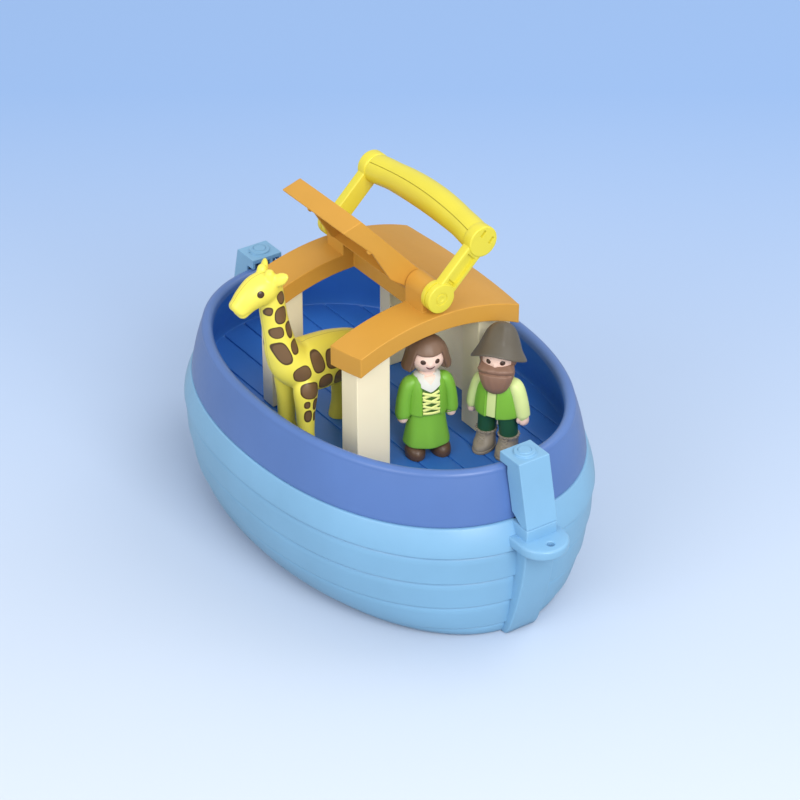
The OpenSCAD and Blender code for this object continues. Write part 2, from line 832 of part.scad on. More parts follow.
// Man, facing -Y
man_coat = [
    [0, 20.8, 7.2, 9.2], [0, 22, 7.8, 9.9], [0, 28, 7.6, 9.7], [0, 34, 6.8, 9], [0, 38.4, 5.4, 7],
    [0, 40, 4, 4.8]
];
man_leg = [[0, 9, 4.4, 4.2], [0, 14, 4.6, 4.2], [0, 20.8, 5.2, 4.2]];
man_leg_x = 5.2;
boot = [[-1.6, 0, 6.8, 4.8], [-1.6, 3, 7, 5], [-0.6, 6, 5.8, 4.8], [0, 9, 4.8, 4.7]];
man_neck_z = 40;
man_head_z = 48.4;
man_head_r = 7.8;
man_arm = [[-5.4, 36.6, 2.4, 3.2], [-8.6, 34.8, 3.3, 3.9], [-10.9, 28.5, 3.2, 3.8], [-12.5, 21.2, 3, 3.5]];
man_hand = [-12.7, 19];
man_beard = [[-6.4, 33.6, 1.6, 2.4], [-6.4, 35, 3.4, 5], [-5.4, 40, 5, 7.6], [-4.4, 45.4, 6, 8.8]];
coat_clear = 1.02;
hat_z = 48.6;
hat_side = [
    [0, 0], [8.4, 0.6], [12.4, -1.4], [12.6, -0.4], [9.8, 4.2], [7.8, 9.2], [5.4, 13], [2.7, 15], [0, 15.4]
];

module man_place() {
    stand(man_x, man_out, man_turn) children();
}

module man_body() {
    color(leaf_green) man_place() {
        loft(stack(man_coat));
        arms(man_arm, man_hand);
    }
}

module man_trousers() {
    color(dark_green) man_place() for (s = [-1, 1]) translate([s*man_leg_x, 0, 0]) loft(stack(man_leg));
}

module man_boots() {
    color(boot_grey) man_place() for (s = [-1, 1]) translate([s*man_leg_x, 0, 0]) loft(stack(boot));
}

module man_head() {
    color(skin) man_place() {
        translate([0, 0, man_head_z]) sphere(r = man_head_r);
        translate([0, 0, man_neck_z]) cylinder(r = neck_r, h = neck_h);
    }
}

module man_beard() {
    color(brown) man_place() difference() {
        rotate([0, 0, man_look]) difference() {
            loft(stack(man_beard));
            translate([-through/2, 0, 0]) cube([through, through, through]);
        }
        translate([0, 0, man_head_z]) sphere(r = man_head_r + seat_gap);
        translate([0, 0, -seat_gap]) scale(coat_clear) loft(stack(man_coat));
        cylinder(r = neck_r + seat_gap, h = man_head_z);
    }
}

module man_hat() {
    color(hat_grey) man_place() rotate([0, 0, man_look]) difference() {
        translate([0, 0, hat_z]) rotate([-hat_tilt, 0, 0]) rotate_extrude() polygon(hat_side);
        translate([0, 0, man_head_z]) sphere(r = man_head_r + seat_gap);
    }
}

hull();
bulwark_ring();
deck();
bow_cap();
stern_cap();
bow_left_post();
bow_right_post();
stern_left_post();
stern_right_post();
back_wall();
roof();
bow_pivot_pin();
stern_pivot_pin();
roof_flap();
handle_frame();
grip_cover();
giraffe();
woman_body();
woman_head();
woman_hair();
woman_shoes();
man_body();
man_trousers();
man_boots();
man_head();
man_beard();
man_hat();
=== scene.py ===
import math

import bmesh
import bpy
import numpy as np
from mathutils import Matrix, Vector


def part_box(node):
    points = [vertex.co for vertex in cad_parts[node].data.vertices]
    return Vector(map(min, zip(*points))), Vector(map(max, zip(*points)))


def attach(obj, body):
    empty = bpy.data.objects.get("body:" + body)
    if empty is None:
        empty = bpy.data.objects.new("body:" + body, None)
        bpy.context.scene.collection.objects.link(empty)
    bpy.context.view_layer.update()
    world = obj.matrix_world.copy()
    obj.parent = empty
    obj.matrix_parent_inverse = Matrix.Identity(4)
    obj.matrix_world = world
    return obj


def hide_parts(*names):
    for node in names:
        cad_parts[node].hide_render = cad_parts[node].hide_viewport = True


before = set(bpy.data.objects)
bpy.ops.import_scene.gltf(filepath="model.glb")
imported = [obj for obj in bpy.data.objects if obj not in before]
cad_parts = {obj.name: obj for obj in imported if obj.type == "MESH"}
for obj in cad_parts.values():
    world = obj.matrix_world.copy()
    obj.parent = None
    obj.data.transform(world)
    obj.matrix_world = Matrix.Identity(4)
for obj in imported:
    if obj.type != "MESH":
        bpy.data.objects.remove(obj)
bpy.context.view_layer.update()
MM = 0.001

# Camera: a long lens well back from the toy, looking down on the bow and the left side,
# at the height from which someone standing at a table sees it.
view_azimuth = math.radians(55.701)
view_elevation = math.radians(32.082)
camera_place = Vector((0.9737, -0.6558, 0.8005))
towards_camera = Vector((
    math.sin(view_azimuth) * math.cos(view_elevation),
    -math.cos(view_azimuth) * math.cos(view_elevation),
    math.sin(view_elevation),
))
camera_data = bpy.data.cameras.new("camera")
camera_data.sensor_width = 36
camera_data.lens = 135.67
camera = bpy.data.objects.new("camera", camera_data)
camera.location = camera_place
camera.rotation_mode = "QUATERNION"
camera.rotation_quaternion = (-towards_camera).to_track_quat("-Z", "Y")
bpy.context.scene.collection.objects.link(camera)
bpy.context.scene.camera = camera
bpy.context.scene.view_settings.view_transform = "Standard"


# Stage: a plain pale blue table top under a white sky, one large soft lamp before the bow
# and weak ones from the left and the right, so that a colour comes out about as written.
def linear(red, green, blue):
    """Scene-linear colour of an sRGB colour given in 0 to 255."""
    c = np.array([red, green, blue]) / 255
    value = np.where(c <= 0.04045, c / 12.92, ((c + 0.055) / 1.055) ** 2.4)
    return (*value.tolist(), 1.0)


def add_node(tree, kind, inputs=None, **settings):
    """A new node in a material's tree, with its settings and the values of its inputs."""
    node = tree.nodes.new("ShaderNode" + kind)
    for name, value in settings.items():
        setattr(node, name, value)
    for name, value in (inputs or {}).items():
        node.inputs[name].default_value = value
    return node


def wire(tree, *wires):
    """Links in a material's tree, each from a node's output to another node's input."""
    for source, output, target, into in wires:
        tree.links.new(source.outputs[output], target.inputs[into])


floor_half = 12.0
fade_far, fade_near = -0.45, 0.3
house_middle = Vector((0, 0, 0.09))
floor_mesh = bpy.data.meshes.new("floor")
corners = [(-1, -1), (1, -1), (1, 1), (-1, 1)]
floor_mesh.from_pydata([(x * floor_half, y * floor_half, 0) for x, y in corners], [], [(0, 1, 2, 3)])
floor = bpy.data.objects.new("floor", floor_mesh)
bpy.context.scene.collection.objects.link(floor)
floor_paint = bpy.data.materials.new("floor_paint")
floor_paint.use_nodes = True
floor_tree = floor_paint.node_tree
floor_shader = floor_tree.nodes["Principled BSDF"]
floor_shader.inputs["Roughness"].default_value = 0.9
floor_place = add_node(floor_tree, "TexCoord")
towards_view = (math.sin(view_azimuth), -math.cos(view_azimuth), 0)
floor_depth = add_node(floor_tree, "VectorMath", {1: towards_view}, operation="DOT_PRODUCT")
floor_fade = add_node(floor_tree, "MapRange", {"From Min": fade_far, "From Max": fade_near})
far_to_near = {"A": linear(146, 178, 224), "B": linear(212, 220, 229)}
floor_seen = add_node(floor_tree, "Mix", far_to_near, data_type="RGBA")
floor_rays = add_node(floor_tree, "LightPath")
floor_colour = add_node(floor_tree, "Mix", {"A": linear(168, 174, 182)}, data_type="RGBA")
wire(
    floor_tree,
    (floor_place, "Object", floor_depth, 0),
    (floor_depth, "Value", floor_fade, "Value"),
    (floor_fade, "Result", floor_seen, "Factor"),
    (floor_seen, "Result", floor_colour, "B"),
    (floor_rays, "Is Camera Ray", floor_colour, "Factor"),
    (floor_colour, "Result", floor_shader, "Base Color"),
)
floor_mesh.materials.append(floor_paint)

sky = bpy.data.worlds.new("sky")
sky.use_nodes = True
sky_light = sky.node_tree.nodes["Background"].inputs
sky_light["Color"].default_value = (0.96, 0.98, 1.0, 1.0)
sky_light["Strength"].default_value = 0.72
bpy.context.scene.world = sky


def soft_lamp(name, azimuth, elevation, distance, size, power):
    """A square soft box at an azimuth and elevation from the house, turned to face it."""
    lamp = bpy.data.lights.new(name, "AREA")
    lamp.shape = "SQUARE"
    lamp.size = size
    lamp.energy = power
    a, e = math.radians(azimuth), math.radians(elevation)
    away = Vector((math.sin(a) * math.cos(e), -math.cos(a) * math.cos(e), math.sin(e)))
    stand = bpy.data.objects.new(name, lamp)
    stand.location = house_middle + away * distance
    stand.rotation_mode = "QUATERNION"
    stand.rotation_quaternion = (-away).to_track_quat("-Z", "Y")
    bpy.context.scene.collection.objects.link(stand)


soft_lamp("bow_lamp", azimuth=80, elevation=34, distance=3, size=1.6, power=57)
soft_lamp("left_lamp", azimuth=14, elevation=30, distance=3.2, size=1.8, power=31)
soft_lamp("right_lamp", azimuth=165, elevation=55, distance=3, size=1.6, power=16)

# Hull: one pale blue moulding, a bowl of lapped planks with a flat bottom, whose top plank
# curves in to the ring's foot. A stem and a stern post stand proud of it, and a pierced
# plate for a tow cord wraps the stem.
hull_low, hull_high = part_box("hull")
ring_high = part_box("bulwark_ring")[1]
deck_low, deck_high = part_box("deck")
hull_top = hull_high.z
hull_half_len = 115.2 * MM
hull_half_beam = 78.3 * MM
bottom_half_len = 103.4 * MM
bottom_half_beam = 49.5 * MM
rise_lengthwise = 1.55
rise_across = 2.65
plan_bow = 0.937
plan_side = 0.894
hull_wall = 2.4 * MM
shelf_width = 6 * MM
shelf_thick = 1.6 * MM
seat_gap = 0.15 * MM
plank_edges = np.array([0, 7.2, 21.6, 36, 50.4, hull_top / MM]) * MM
plank_lap = 0.9 * MM
lap_round = np.array([1.6, 0.5, 0.5, 0.5, 0.5]) * MM
lap_groove = np.array([1.6, 1.6, 1.6, 1.6, 0]) * MM
lap_chamfer = 1.6 * MM
lap_power = 1.4
shoulder_height = 13 * MM
shoulder_power = 1.6
shoulder_edge = 0.5 * MM
bilge_height = 12 * MM
plank_shares = np.array([
    0, 0.004, 0.01, 0.02, 0.035, 0.06, 0.12, 0.25, 0.4, 0.55, 0.7, 0.84, 0.93, 0.955, 0.975, 0.99, 1,
])
mirror = np.array([-1, 1, 1])


def full_turn(count):
    """Angles spaced evenly once round."""
    return np.linspace(0, 2 * np.pi, count, endpoint=False)


def xyz(x, y, z):
    """Points from coordinates, each spread out to the shape of the others."""
    return np.stack(np.broadcast_arrays(x, y, z), axis=-1)


plan_turn = full_turn(288)


def plan(half_len, half_beam, height):
    """Rings of the boat's plan, one for each row: x is half_len times the cosine of the turn to the
    power plan_bow, y is half_beam times its sine to the power plan_side, with their signs kept."""
    half_len, half_beam, height = np.broadcast_arrays(*np.atleast_1d(half_len, half_beam, height))
    c, s = np.cos(plan_turn), np.sin(plan_turn)
    x = np.outer(half_len, np.sign(c) * np.abs(c) ** plan_bow)
    y = np.outer(half_beam, np.sign(s) * np.abs(s) ** plan_side)
    return xyz(x, y, height[:, None])


def hull_side(bottom, top, height, power):
    """Half-length or half-beam of the hull at a height: a superellipse quarter from bottom to top."""
    share = np.clip(height / hull_top, 0, 1)
    return bottom + (top - bottom) * (1 - (1 - share) ** power) ** (1 / power)


def hull_len_at(height):
    """The hull's half-length at a height."""
    return hull_side(bottom_half_len, hull_half_len, height, rise_lengthwise)


def hull_beam_at(height):
    """The hull's half-beam at a height."""
    return hull_side(bottom_half_beam, hull_half_beam, height, rise_across)


def quarter_round(distance, radius):
    """How far a rounded edge of that radius falls back at a distance from it."""
    short = np.clip(radius - distance, 0, radius)
    return radius - np.sqrt(np.maximum(radius**2 - short**2, 0))


def grid_faces(rows, cols, wrap_rows, wrap_cols):
    """Quads of a grid of points, whose last row or column joins the first where it wraps."""
    r = np.arange(rows if wrap_rows else rows - 1)[:, None]
    c = np.arange(cols if wrap_cols else cols - 1)[None, :]
    r_next, c_next = (r + 1) % rows, (c + 1) % cols
    corners = (r * cols + c, r * cols + c_next, r_next * cols + c_next, r_next * cols + c)
    return np.stack(np.broadcast_arrays(*corners), axis=-1).reshape(-1, 4)


def poled(rings):
    """A stack of rings closed at both ends by their centres, which weld to one point each."""
    first = np.broadcast_to(rings[0].mean(axis=0), rings[0].shape)
    last = np.broadcast_to(rings[-1].mean(axis=0), rings[-1].shape)
    return np.concatenate([first[None], rings, last[None]])


def show(mesh, name, material, body):
    """An object for a finished mesh, which rides on a body and takes the material it is given."""
    mesh.materials.append(material)
    piece = bpy.data.objects.new(name, mesh)
    bpy.context.scene.collection.objects.link(piece)
    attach(piece, body)
    return piece


def welded(name, surfaces):
    """One mesh from surfaces, each a grid of points with whether its rows and its columns wrap.
    Seams and poles are welded and faces turned outwards."""
    points, faces, count = [], [], 0
    for grid, wrap_rows, wrap_cols in surfaces:
        points.append(grid.reshape(-1, 3))
        faces.append(grid_faces(*grid.shape[:2], wrap_rows, wrap_cols) + count)
        count += len(points[-1])
    mesh = bpy.data.meshes.new(name)
    mesh.from_pydata(np.concatenate(points).tolist(), [], np.concatenate(faces).tolist())
    work = bmesh.new()
    work.from_mesh(mesh)
    bmesh.ops.remove_doubles(work, verts=work.verts, dist=2e-6)
    bmesh.ops.dissolve_degenerate(work, edges=work.edges, dist=1e-7)
    bmesh.ops.recalc_face_normals(work, faces=work.faces)
    work.to_mesh(mesh)
    work.free()
    mesh.shade_smooth()
    return mesh


def surfaced(name, surfaces, material, body="ark", sharp=40):
    """One piece from welded surfaces, smooth apart from edges over an angle."""
    mesh = welded(name, surfaces)
    mesh.set_sharp_from_angle(angle=math.radians(sharp))
    return show(mesh, name, material, body)


def closed(parts):
    """Surfaces for parts whose columns go round and whose rows run from pole to pole."""
    return [(part, False, True) for part in parts]


def moulded(name, colour, roughness=0.36):
    """Moulded plastic: colour that clouds slightly where the melt flowed, gloss that varies over
    a millimetre or two, and the faint grain of a spark-eroded mould."""
    cloud = 0.05
    material = bpy.data.materials.new(name)
    material.use_nodes = True
    tree = material.node_tree
    shader = tree.nodes["Principled BSDF"]
    place = add_node(tree, "TexCoord")
    flow = add_node(tree, "TexNoise", {"Scale": 26, "Detail": 3})
    haze = add_node(tree, "TexNoise", {"Scale": 420, "Detail": 2})
    grain = add_node(tree, "TexNoise", {"Scale": 2600, "Detail": 2})
    tint = add_node(tree, "ValToRGB")
    base = np.array(linear(*colour)[:3])
    for stop, position, factor in zip(tint.color_ramp.elements, (0.3, 0.7), (1 - cloud, 1 + cloud)):
        stop.position = position
        stop.color = (*np.minimum(base * factor, 1).tolist(), 1)
    gloss = add_node(tree, "MapRange", {"To Min": roughness - 0.05, "To Max": roughness + 0.07})
    bump = add_node(tree, "Bump", {"Strength": 0.12, "Distance": 0.04 * MM})
    wire(
        tree,
        *((place, "Object", texture, "Vector") for texture in (flow, haze, grain)),
        (flow, "Fac", tint, "Fac"),
        (tint, "Color", shader, "Base Color"),
        (haze, "Fac", gloss, "Value"),
        (gloss, "Result", shader, "Roughness"),
        (grain, "Fac", bump, "Height"),
        (bump, "Normal", shader, "Normal"),
    )
    return material


hull_blue = moulded("hull_blue_plastic", (125, 174, 210))

plank_height = np.diff(plank_edges)[:, None]
plank_up = plank_shares * plank_height
plank_down = plank_height - plank_up
plank_z = (plank_edges[:-1, None] + plank_up).ravel()
plank_proud = (
    plank_lap * (1 - plank_shares)
    - quarter_round(plank_up, lap_round[:, None])
    - lap_groove[:, None] * np.clip(1 - plank_down / lap_chamfer, 0, 1) ** lap_power
).ravel() - quarter_round(hull_top - plank_z, shoulder_edge)
ledge_len = hull_len_at(hull_top) - ring_high.x - shoulder_edge
ledge_beam = hull_beam_at(hull_top) - ring_high.y - shoulder_edge


def shoulder_at(z):
    """The share of the ledge by which the top plank has curved in at a height: the part of the
    shoulder's height that is below it, to the power shoulder_power."""
    return np.clip(1 - (hull_top - z) / shoulder_height, 0, 1) ** shoulder_power


planks = plan(
    hull_len_at(plank_z) + plank_proud - ledge_len * shoulder_at(plank_z),
    hull_beam_at(plank_z) + plank_proud - ledge_beam * shoulder_at(plank_z),
    plank_z,
)

seat_len = deck_high.x + seat_gap
seat_beam = deck_high.y + seat_gap
shelf_len = deck_high.x - shelf_width
shelf_beam = deck_high.y - shelf_width
tub_z = deck_low.z
seat = plan(
    np.array([seat_len, seat_len, shelf_len, shelf_len]),
    np.array([seat_beam, seat_beam, shelf_beam, shelf_beam]),
    np.array([hull_top, tub_z, tub_z, tub_z - shelf_thick]),
)
hold_z = np.linspace(tub_z - shelf_thick - shelf_width, hull_wall, 9)
hold_in = hull_wall * np.clip((hold_z - hull_wall) / bilge_height, 0, 1)
hold = plan(
    hull_len_at(hold_z - hull_wall) - hold_in, hull_beam_at(hold_z - hull_wall) - hold_in, hold_z
)
hull_shell = poled(np.concatenate([planks, seat, hold]))

stem_half = 8.15 * MM
stem_radius = 155 * MM
stem_reach = -hull_low.x
stem_edge = 0.9 * MM
stem_foot_round = 2.4 * MM


def rounded_slab(x_low, x_high, y_low, y_high, corner, z):
    """Rings of a rectangle with rounded corners, one for each row."""
    x_low, x_high, y_low, y_high, corner, z = np.broadcast_arrays(
        *np.atleast_1d(x_low, x_high, y_low, y_high, corner, z)
    )
    steps = 6
    angle = (np.arange(4)[:, None] * np.pi / 2 + np.linspace(0, np.pi / 2, steps)).ravel()
    right = np.repeat([1, -1, -1, 1], steps)
    front = np.repeat([1, 1, -1, -1], steps)
    mid_x, half_x = (x_low + x_high) / 2, (x_high - x_low) / 2
    mid_y, half_y = (y_low + y_high) / 2, (y_high - y_low) / 2
    x = mid_x[:, None] + np.outer(half_x - corner, right) + np.outer(corner, np.cos(angle))
    y = mid_y[:, None] + np.outer(half_y - corner, front) + np.outer(corner, np.sin(angle))
    return xyz(x, y, z[:, None])


def end_rounded(low, high, radius, steps):
    """Places from low to high that crowd at both ends, and the fall-back of an edge rounded there."""
    inner = np.linspace(low + radius, high - radius, steps)
    crowd = radius * (1 - np.cos(np.linspace(0, np.pi / 2, 5)))[:-1]
    place = np.concatenate([low + crowd, inner, high - crowd[::-1]])
    return place, quarter_round(np.minimum(place - low, high - place), radius)


stem_z, stem_fall = end_rounded(0, hull_top, stem_edge, 24)
stem_front = stem_reach - stem_radius + np.sqrt(stem_radius**2 - (hull_top - stem_z) ** 2)
stem_front = stem_front - quarter_round(stem_z, stem_foot_round)
stem_back = hull_len_at(stem_z) - hull_wall / 2 - ledge_len * shoulder_at(stem_z)
bow_stem = poled(rounded_slab(
    stem_back, stem_front - stem_fall, stem_fall - stem_half, stem_half - stem_fall, stem_edge, stem_z,
))
stern_stem = bow_stem * mirror

tow_radius = 11.8 * MM
tow_bore = 1.75 * MM
tow_hole_x = stem_reach + 6 * MM
tow_top = hull_top - 5.8 * MM
tow_thick = 5 * MM
tow_edge = 1.3 * MM
tow_back_x = hull_half_len - hull_wall / 2 - ledge_len * shoulder_at(tow_top)
tow_turn = np.linspace(-np.pi / 2, np.pi / 2, 65)
tow_outline = np.concatenate([
    np.stack([stem_reach + tow_radius * np.cos(tow_turn), tow_radius * np.sin(tow_turn)], axis=-1),
    np.linspace((stem_reach, tow_radius), (tow_back_x, tow_radius), 9)[1:],
    np.linspace((tow_back_x, tow_radius), (tow_back_x, -tow_radius), 25)[1:],
    np.linspace((tow_back_x, -tow_radius), (stem_reach, -tow_radius), 9)[1:-1],
])
tow_spoke = tow_outline - [tow_hole_x, 0]
tow_spoke_len = np.linalg.norm(tow_spoke, axis=1)
tow_z, tow_fall = end_rounded(tow_top - tow_thick, tow_top, tow_edge, 3)


def tow_ring(radius, z):
    """A ring round the tow hole: each spoke's end at a radius from the hole's middle."""
    ring = [tow_hole_x, 0] + tow_spoke / tow_spoke_len[:, None] * np.reshape(radius, (-1, 1))
    return np.column_stack([ring, np.full(len(ring), z)])


hole_lip = 0.4 * MM
tow_plate = np.stack(
    [tow_ring(tow_spoke_len - fall, z) for z, fall in zip(tow_z, tow_fall)]
    + [
        tow_ring(tow_bore + hole_lip, tow_top),
        tow_ring(tow_bore, tow_top - hole_lip),
        tow_ring(tow_bore, tow_top - tow_thick + hole_lip),
        tow_ring(tow_bore + hole_lip, tow_top - tow_thick),
    ]
)

hull_parts = closed([hull_shell, bow_stem, stern_stem]) + [(tow_plate, True, True)]
hull = surfaced("hull_moulding", hull_parts, hull_blue)
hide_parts("hull")

# Deck: a royal blue tub that hangs in the hull's top edge. Its wall leans inwards behind the
# ring, and its floor is moulded as boards with a groove between each two.
deck_blue = moulded("deck_blue_plastic", (53, 115, 198), roughness=0.4)
deck_z = 59.1 * MM
tub_top = deck_high.z
tub_wall = 2.7 * MM
tub_fillet = 1.6 * MM
ring_lean = 5.2 * MM
lean_height = 20.7 * MM
board_width = 14 * MM
board_shift = 1.8 * MM
groove_width = 0.9 * MM
groove_depth = 0.7 * MM
board_edge = 0.35 * MM
board_sink = 0.2 * MM
board_end_gap = 0.2 * MM
board_side_gap = 1 * MM
wall_start = 3 * MM
floor_len = deck_high.x - tub_wall
floor_beam = deck_high.y - tub_wall


def tub_lean(z):
    """How far the tub's wall has moved inwards at a height, from nothing at the hull's top edge."""
    return ring_lean * np.clip(z - hull_top, 0, None) / lean_height


inner_z = np.concatenate([
    deck_z - groove_depth + tub_fillet * (1 - np.cos(np.linspace(0, np.pi / 2, 7))),
    np.linspace(deck_z + wall_start, tub_top, 8),
])
inner_in = tub_wall + tub_lean(inner_z) + quarter_round(inner_z - deck_z + groove_depth, tub_fillet)
outer_z = np.array([tub_top, hull_top, tub_z])
outer_in = tub_lean(outer_z)
tub_z_rows = np.concatenate([inner_z, outer_z])
tub_in = np.concatenate([inner_in, outer_in])
tub = poled(plan(deck_high.x - tub_in, deck_high.y - tub_in, tub_z_rows))


def board(y_low, y_high):
    """One board of the floor: its rounded section across, carried along to the tub's plan outline."""
    y, fall = end_rounded(y_low, y_high, board_edge, 6)
    reach = floor_len * np.clip(1 - (np.abs(y) / floor_beam) ** (2 / plan_side), 0, 1) ** (plan_bow / 2)
    x = np.outer(reach - board_end_gap, np.linspace(-1, 1, 41))
    top = xyz(x, y[:, None], (deck_z - fall)[:, None])
    under = top * [1, 1, 0] + [0, 0, deck_z - groove_depth - board_sink]
    return np.concatenate([top, under[:, ::-1]], axis=1)


groove_y = np.arange(-4, 5) * board_width + board_shift
board_low = np.concatenate([[-floor_beam + board_side_gap], groove_y + groove_width / 2])
board_high = np.concatenate([groove_y - groove_width / 2, [floor_beam - board_side_gap]])
boards = [poled(board(low, high)) for low, high in zip(board_low, board_high)]
deck = surfaced("deck_tub", closed([tub, *boards]), deck_blue)
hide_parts("deck")

# Bulwark ring: a separate mid-blue moulding that stands on the hull's top edge and leans
# inwards. Its rim is rolled over the deck's wall.
ring_blue = moulded("ring_blue_plastic", (84, 117, 178), roughness=0.33)
rim_radius = 2.7 * MM
rim_z = ring_high.z - rim_radius
ring_belly = 0.6 * MM
ring_wall = 2.4 * MM
rim_lip = 1.6 * MM
ring_foot = 1 * MM
wall_z, _ = end_rounded(hull_top, rim_z, ring_foot, 16)
wall_share = (wall_z - hull_top) / (rim_z - hull_top)
wall_out = (
    4 * ring_belly * wall_share * (1 - wall_share)
    - ring_lean * wall_share
    - quarter_round(wall_z - hull_top, ring_foot)
)
rim_turn = np.linspace(0, np.pi, 17)[1:]
rim_out = -ring_lean - rim_radius + rim_radius * np.cos(rim_turn)
back_out = np.array([-ring_lean - 2 * rim_radius, -ring_lean - ring_wall, -ring_wall])
ring_out = np.concatenate([wall_out, rim_out, back_out])
ring_z = np.concatenate([
    wall_z, rim_z + rim_radius * np.sin(rim_turn), [rim_z - rim_lip, rim_z - rim_lip, hull_top],
])
ring = surfaced(
    "bulwark_ring_moulding",
    [(plan(ring_high.x + ring_out, ring_high.y + ring_out, ring_z), True, True)],
    ring_blue,
)
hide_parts("bulwark_ring")


# End caps: hollow clips in the hull's pale blue that stand on the stem and stern posts and
# hook over the rim, open in three slots towards the deck, with a stepped stud on top.
def rounded_copy(node, material, edge):
    """A CAD solid of the ark with rounded edges: its triangles are merged into faces, then bevelled."""
    work = bmesh.new()
    work.from_mesh(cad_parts[node].data)
    bmesh.ops.remove_doubles(work, verts=work.verts, dist=1e-6)
    flat_within = math.radians(0.4)
    bmesh.ops.dissolve_limit(work, angle_limit=flat_within, verts=work.verts, edges=work.edges)
    mesh = bpy.data.meshes.new(node + "_moulding")
    work.to_mesh(mesh)
    work.free()
    mesh.shade_smooth()
    piece = show(mesh, node + "_moulding", material, "ark")
    bevel = piece.modifiers.new("rounded_edges", "BEVEL")
    bevel.width = edge
    bevel.segments = 3
    bevel.limit_method = "ANGLE"
    bevel.angle_limit = math.radians(32)
    bevel.use_clamp_overlap = False
    normals = piece.modifiers.new("even_shading", "WEIGHTED_NORMAL")
    normals.keep_sharp = True
    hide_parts(node)


for cap in ("bow_cap", "stern_cap"):
    rounded_copy(cap, hull_blue, 0.5 * MM)

# House: four cream posts that plug into the deck, and a cream panel between the two on the
# right. Their tops are cut to the underside of the roof.
cream = moulded("cream_plastic", (255, 239, 202), roughness=0.42)
for post in ("bow_left_post", "bow_right_post", "stern_left_post", "stern_right_post"):
    rounded_copy(post, cream, 0.5 * MM)
rounded_copy("back_wall", cream, 0.2 * MM)

# Roof: one orange moulding, an arched shell with deep edges, bulging eaves, an opening over
# the left side and two bosses on the ridge that hold the hinge pins.
orange = moulded("orange_plastic", (205, 151, 63), roughness=0.45)
orange.node_tree.nodes["Principled BSDF"].inputs["Specular IOR Level"].default_value = 0.25
rounded_copy("roof", orange, 0.45 * MM)

# Hinge pins: two lengths of plain steel wire pressed into the bosses.
steel = moulded("pin_steel", (196, 198, 202), roughness=0.3)
steel.node_tree.nodes["Principled BSDF"].inputs["Metallic"].default_value = 1.0
for pin in ("bow_pivot_pin", "stern_pivot_pin"):
    rounded_copy(pin, steel, 0.3 * MM)

# Roof flap: an orange shell that closes the opening. Walls hang round a pocket under its skin,
# a round knuckle with a bore in each end turns on the pins, and each side wall has a small nub.
pin_low, pin_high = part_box("bow_pivot_pin")
hinge_z = (pin_low.z + pin_high.z) / 2
flap_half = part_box("roof_flap")[1].x / MM
flap_open = math.radians(73.6)
knuckle_r, skin_r = 5.5, 5
bore_r, bore_deep = 2.05, 7
flap_reach, flap_drop, flap_edge, flap_lean = 44.5, 26.5, 9.4, 1.4
flap_wall, flap_skin = 1.8, 2.4
flap_round, rim_round = 0.45, 0.35
eave_radius = 228
nub_r, nub_half, nub_share, nub_edge = 1.5, 0.6, 0.62, 0.3
arc_count, column_count, middle_count = 48, 24, 13
flap_pitch = math.atan2(flap_drop - flap_edge + skin_r, flap_reach)
top_in = skin_r * np.array([-math.sin(flap_pitch), math.cos(flap_pitch)])
top_out = np.array([-flap_reach - flap_lean, flap_edge - flap_drop])
under_y = np.array([-1, -0.58, -0.18, 0]) * flap_reach
under_z = np.append(np.array([-1, -0.6, -0.43]) * flap_drop, -skin_r)
pocket_far, pocket_near = flap_wall - flap_reach, -knuckle_r - flap_wall


def unit(vectors):
    """Vectors scaled to a length of one."""
    return vectors / np.linalg.norm(vectors, axis=-1, keepdims=True)


def out_of(way):
    """Unit normals on the right of ways round the flap's outline, given as (y, z)."""
    return unit(np.stack([way[..., 1], -way[..., 0]], axis=-1))


def corner_arc(corner, before, after, radius):
    """Points and normals of a corner rounded from one outward normal to the next."""
    share = np.linspace(0, 1, 6)[:, None]
    normal = unit(before[..., None, :] * (1 - share) + after[..., None, :] * share)
    middle = corner - radius * (before + after) / (1 + (before * after).sum(axis=-1, keepdims=True))
    return middle[..., None, :] + radius * normal, normal


def opened(points):
    """Points in millimetres about the hinge of the closed flap, turned up to where it stands."""
    x, y, z = np.moveaxis(points, -1, 0)
    c, s = math.cos(flap_open), math.sin(flap_open)
    return xyz(x, y * c + z * s, z * c - y * s) * MM + [0, 0, hinge_z]


rim_steps = rim_round * np.array([1, 0.3, 0, 0])
rim_lift = np.array([0, 0.3 * rim_round, rim_round, np.inf])
end_steps = flap_round * (1 - np.cos(np.linspace(0, np.pi / 2, 5)))
side_x = np.concatenate([flap_half - end_steps, flap_half - flap_wall + rim_steps])
side_lift = np.concatenate([np.zeros(len(end_steps)), rim_lift])
middle_x = np.linspace(20, -20, middle_count)
flap_x = np.concatenate([side_x, middle_x, -side_x[::-1]])
lift_x = np.concatenate([side_lift, np.full(middle_count, np.inf), side_lift[::-1]])

top_slope = (top_out - top_in)[1] / (top_out - top_in)[0]
eave_y = top_out[0] + eave_radius - np.sqrt(eave_radius**2 - flap_x**2)
eave_top = np.stack([eave_y, top_in[1] + top_slope * (eave_y - top_in[0])], axis=-1)
eave_foot = np.array([under_y[0], under_z[0]])
under_ways = out_of(np.stack([np.diff(under_y), np.diff(under_z)], axis=-1))
top_normal = out_of(top_out - top_in)
edge_normal = out_of(eave_foot - eave_top)
spread = np.zeros_like(eave_top)
top_corner, top_corner_normal = corner_arc(eave_top, top_normal + spread, edge_normal, flap_round)
foot_corner, foot_corner_normal = corner_arc(
    eave_foot + spread, edge_normal, under_ways[0] + spread, flap_round
)
arc_start = np.arctan2(*under_ways[2][::-1]) - np.arccos(under_ways[2] @ [0, -skin_r] / knuckle_r)
arc_end = np.arctan2(*top_normal[::-1]) + np.arccos(top_normal @ top_in / knuckle_r)
arc_turn = np.linspace(arc_start, arc_end, arc_count)
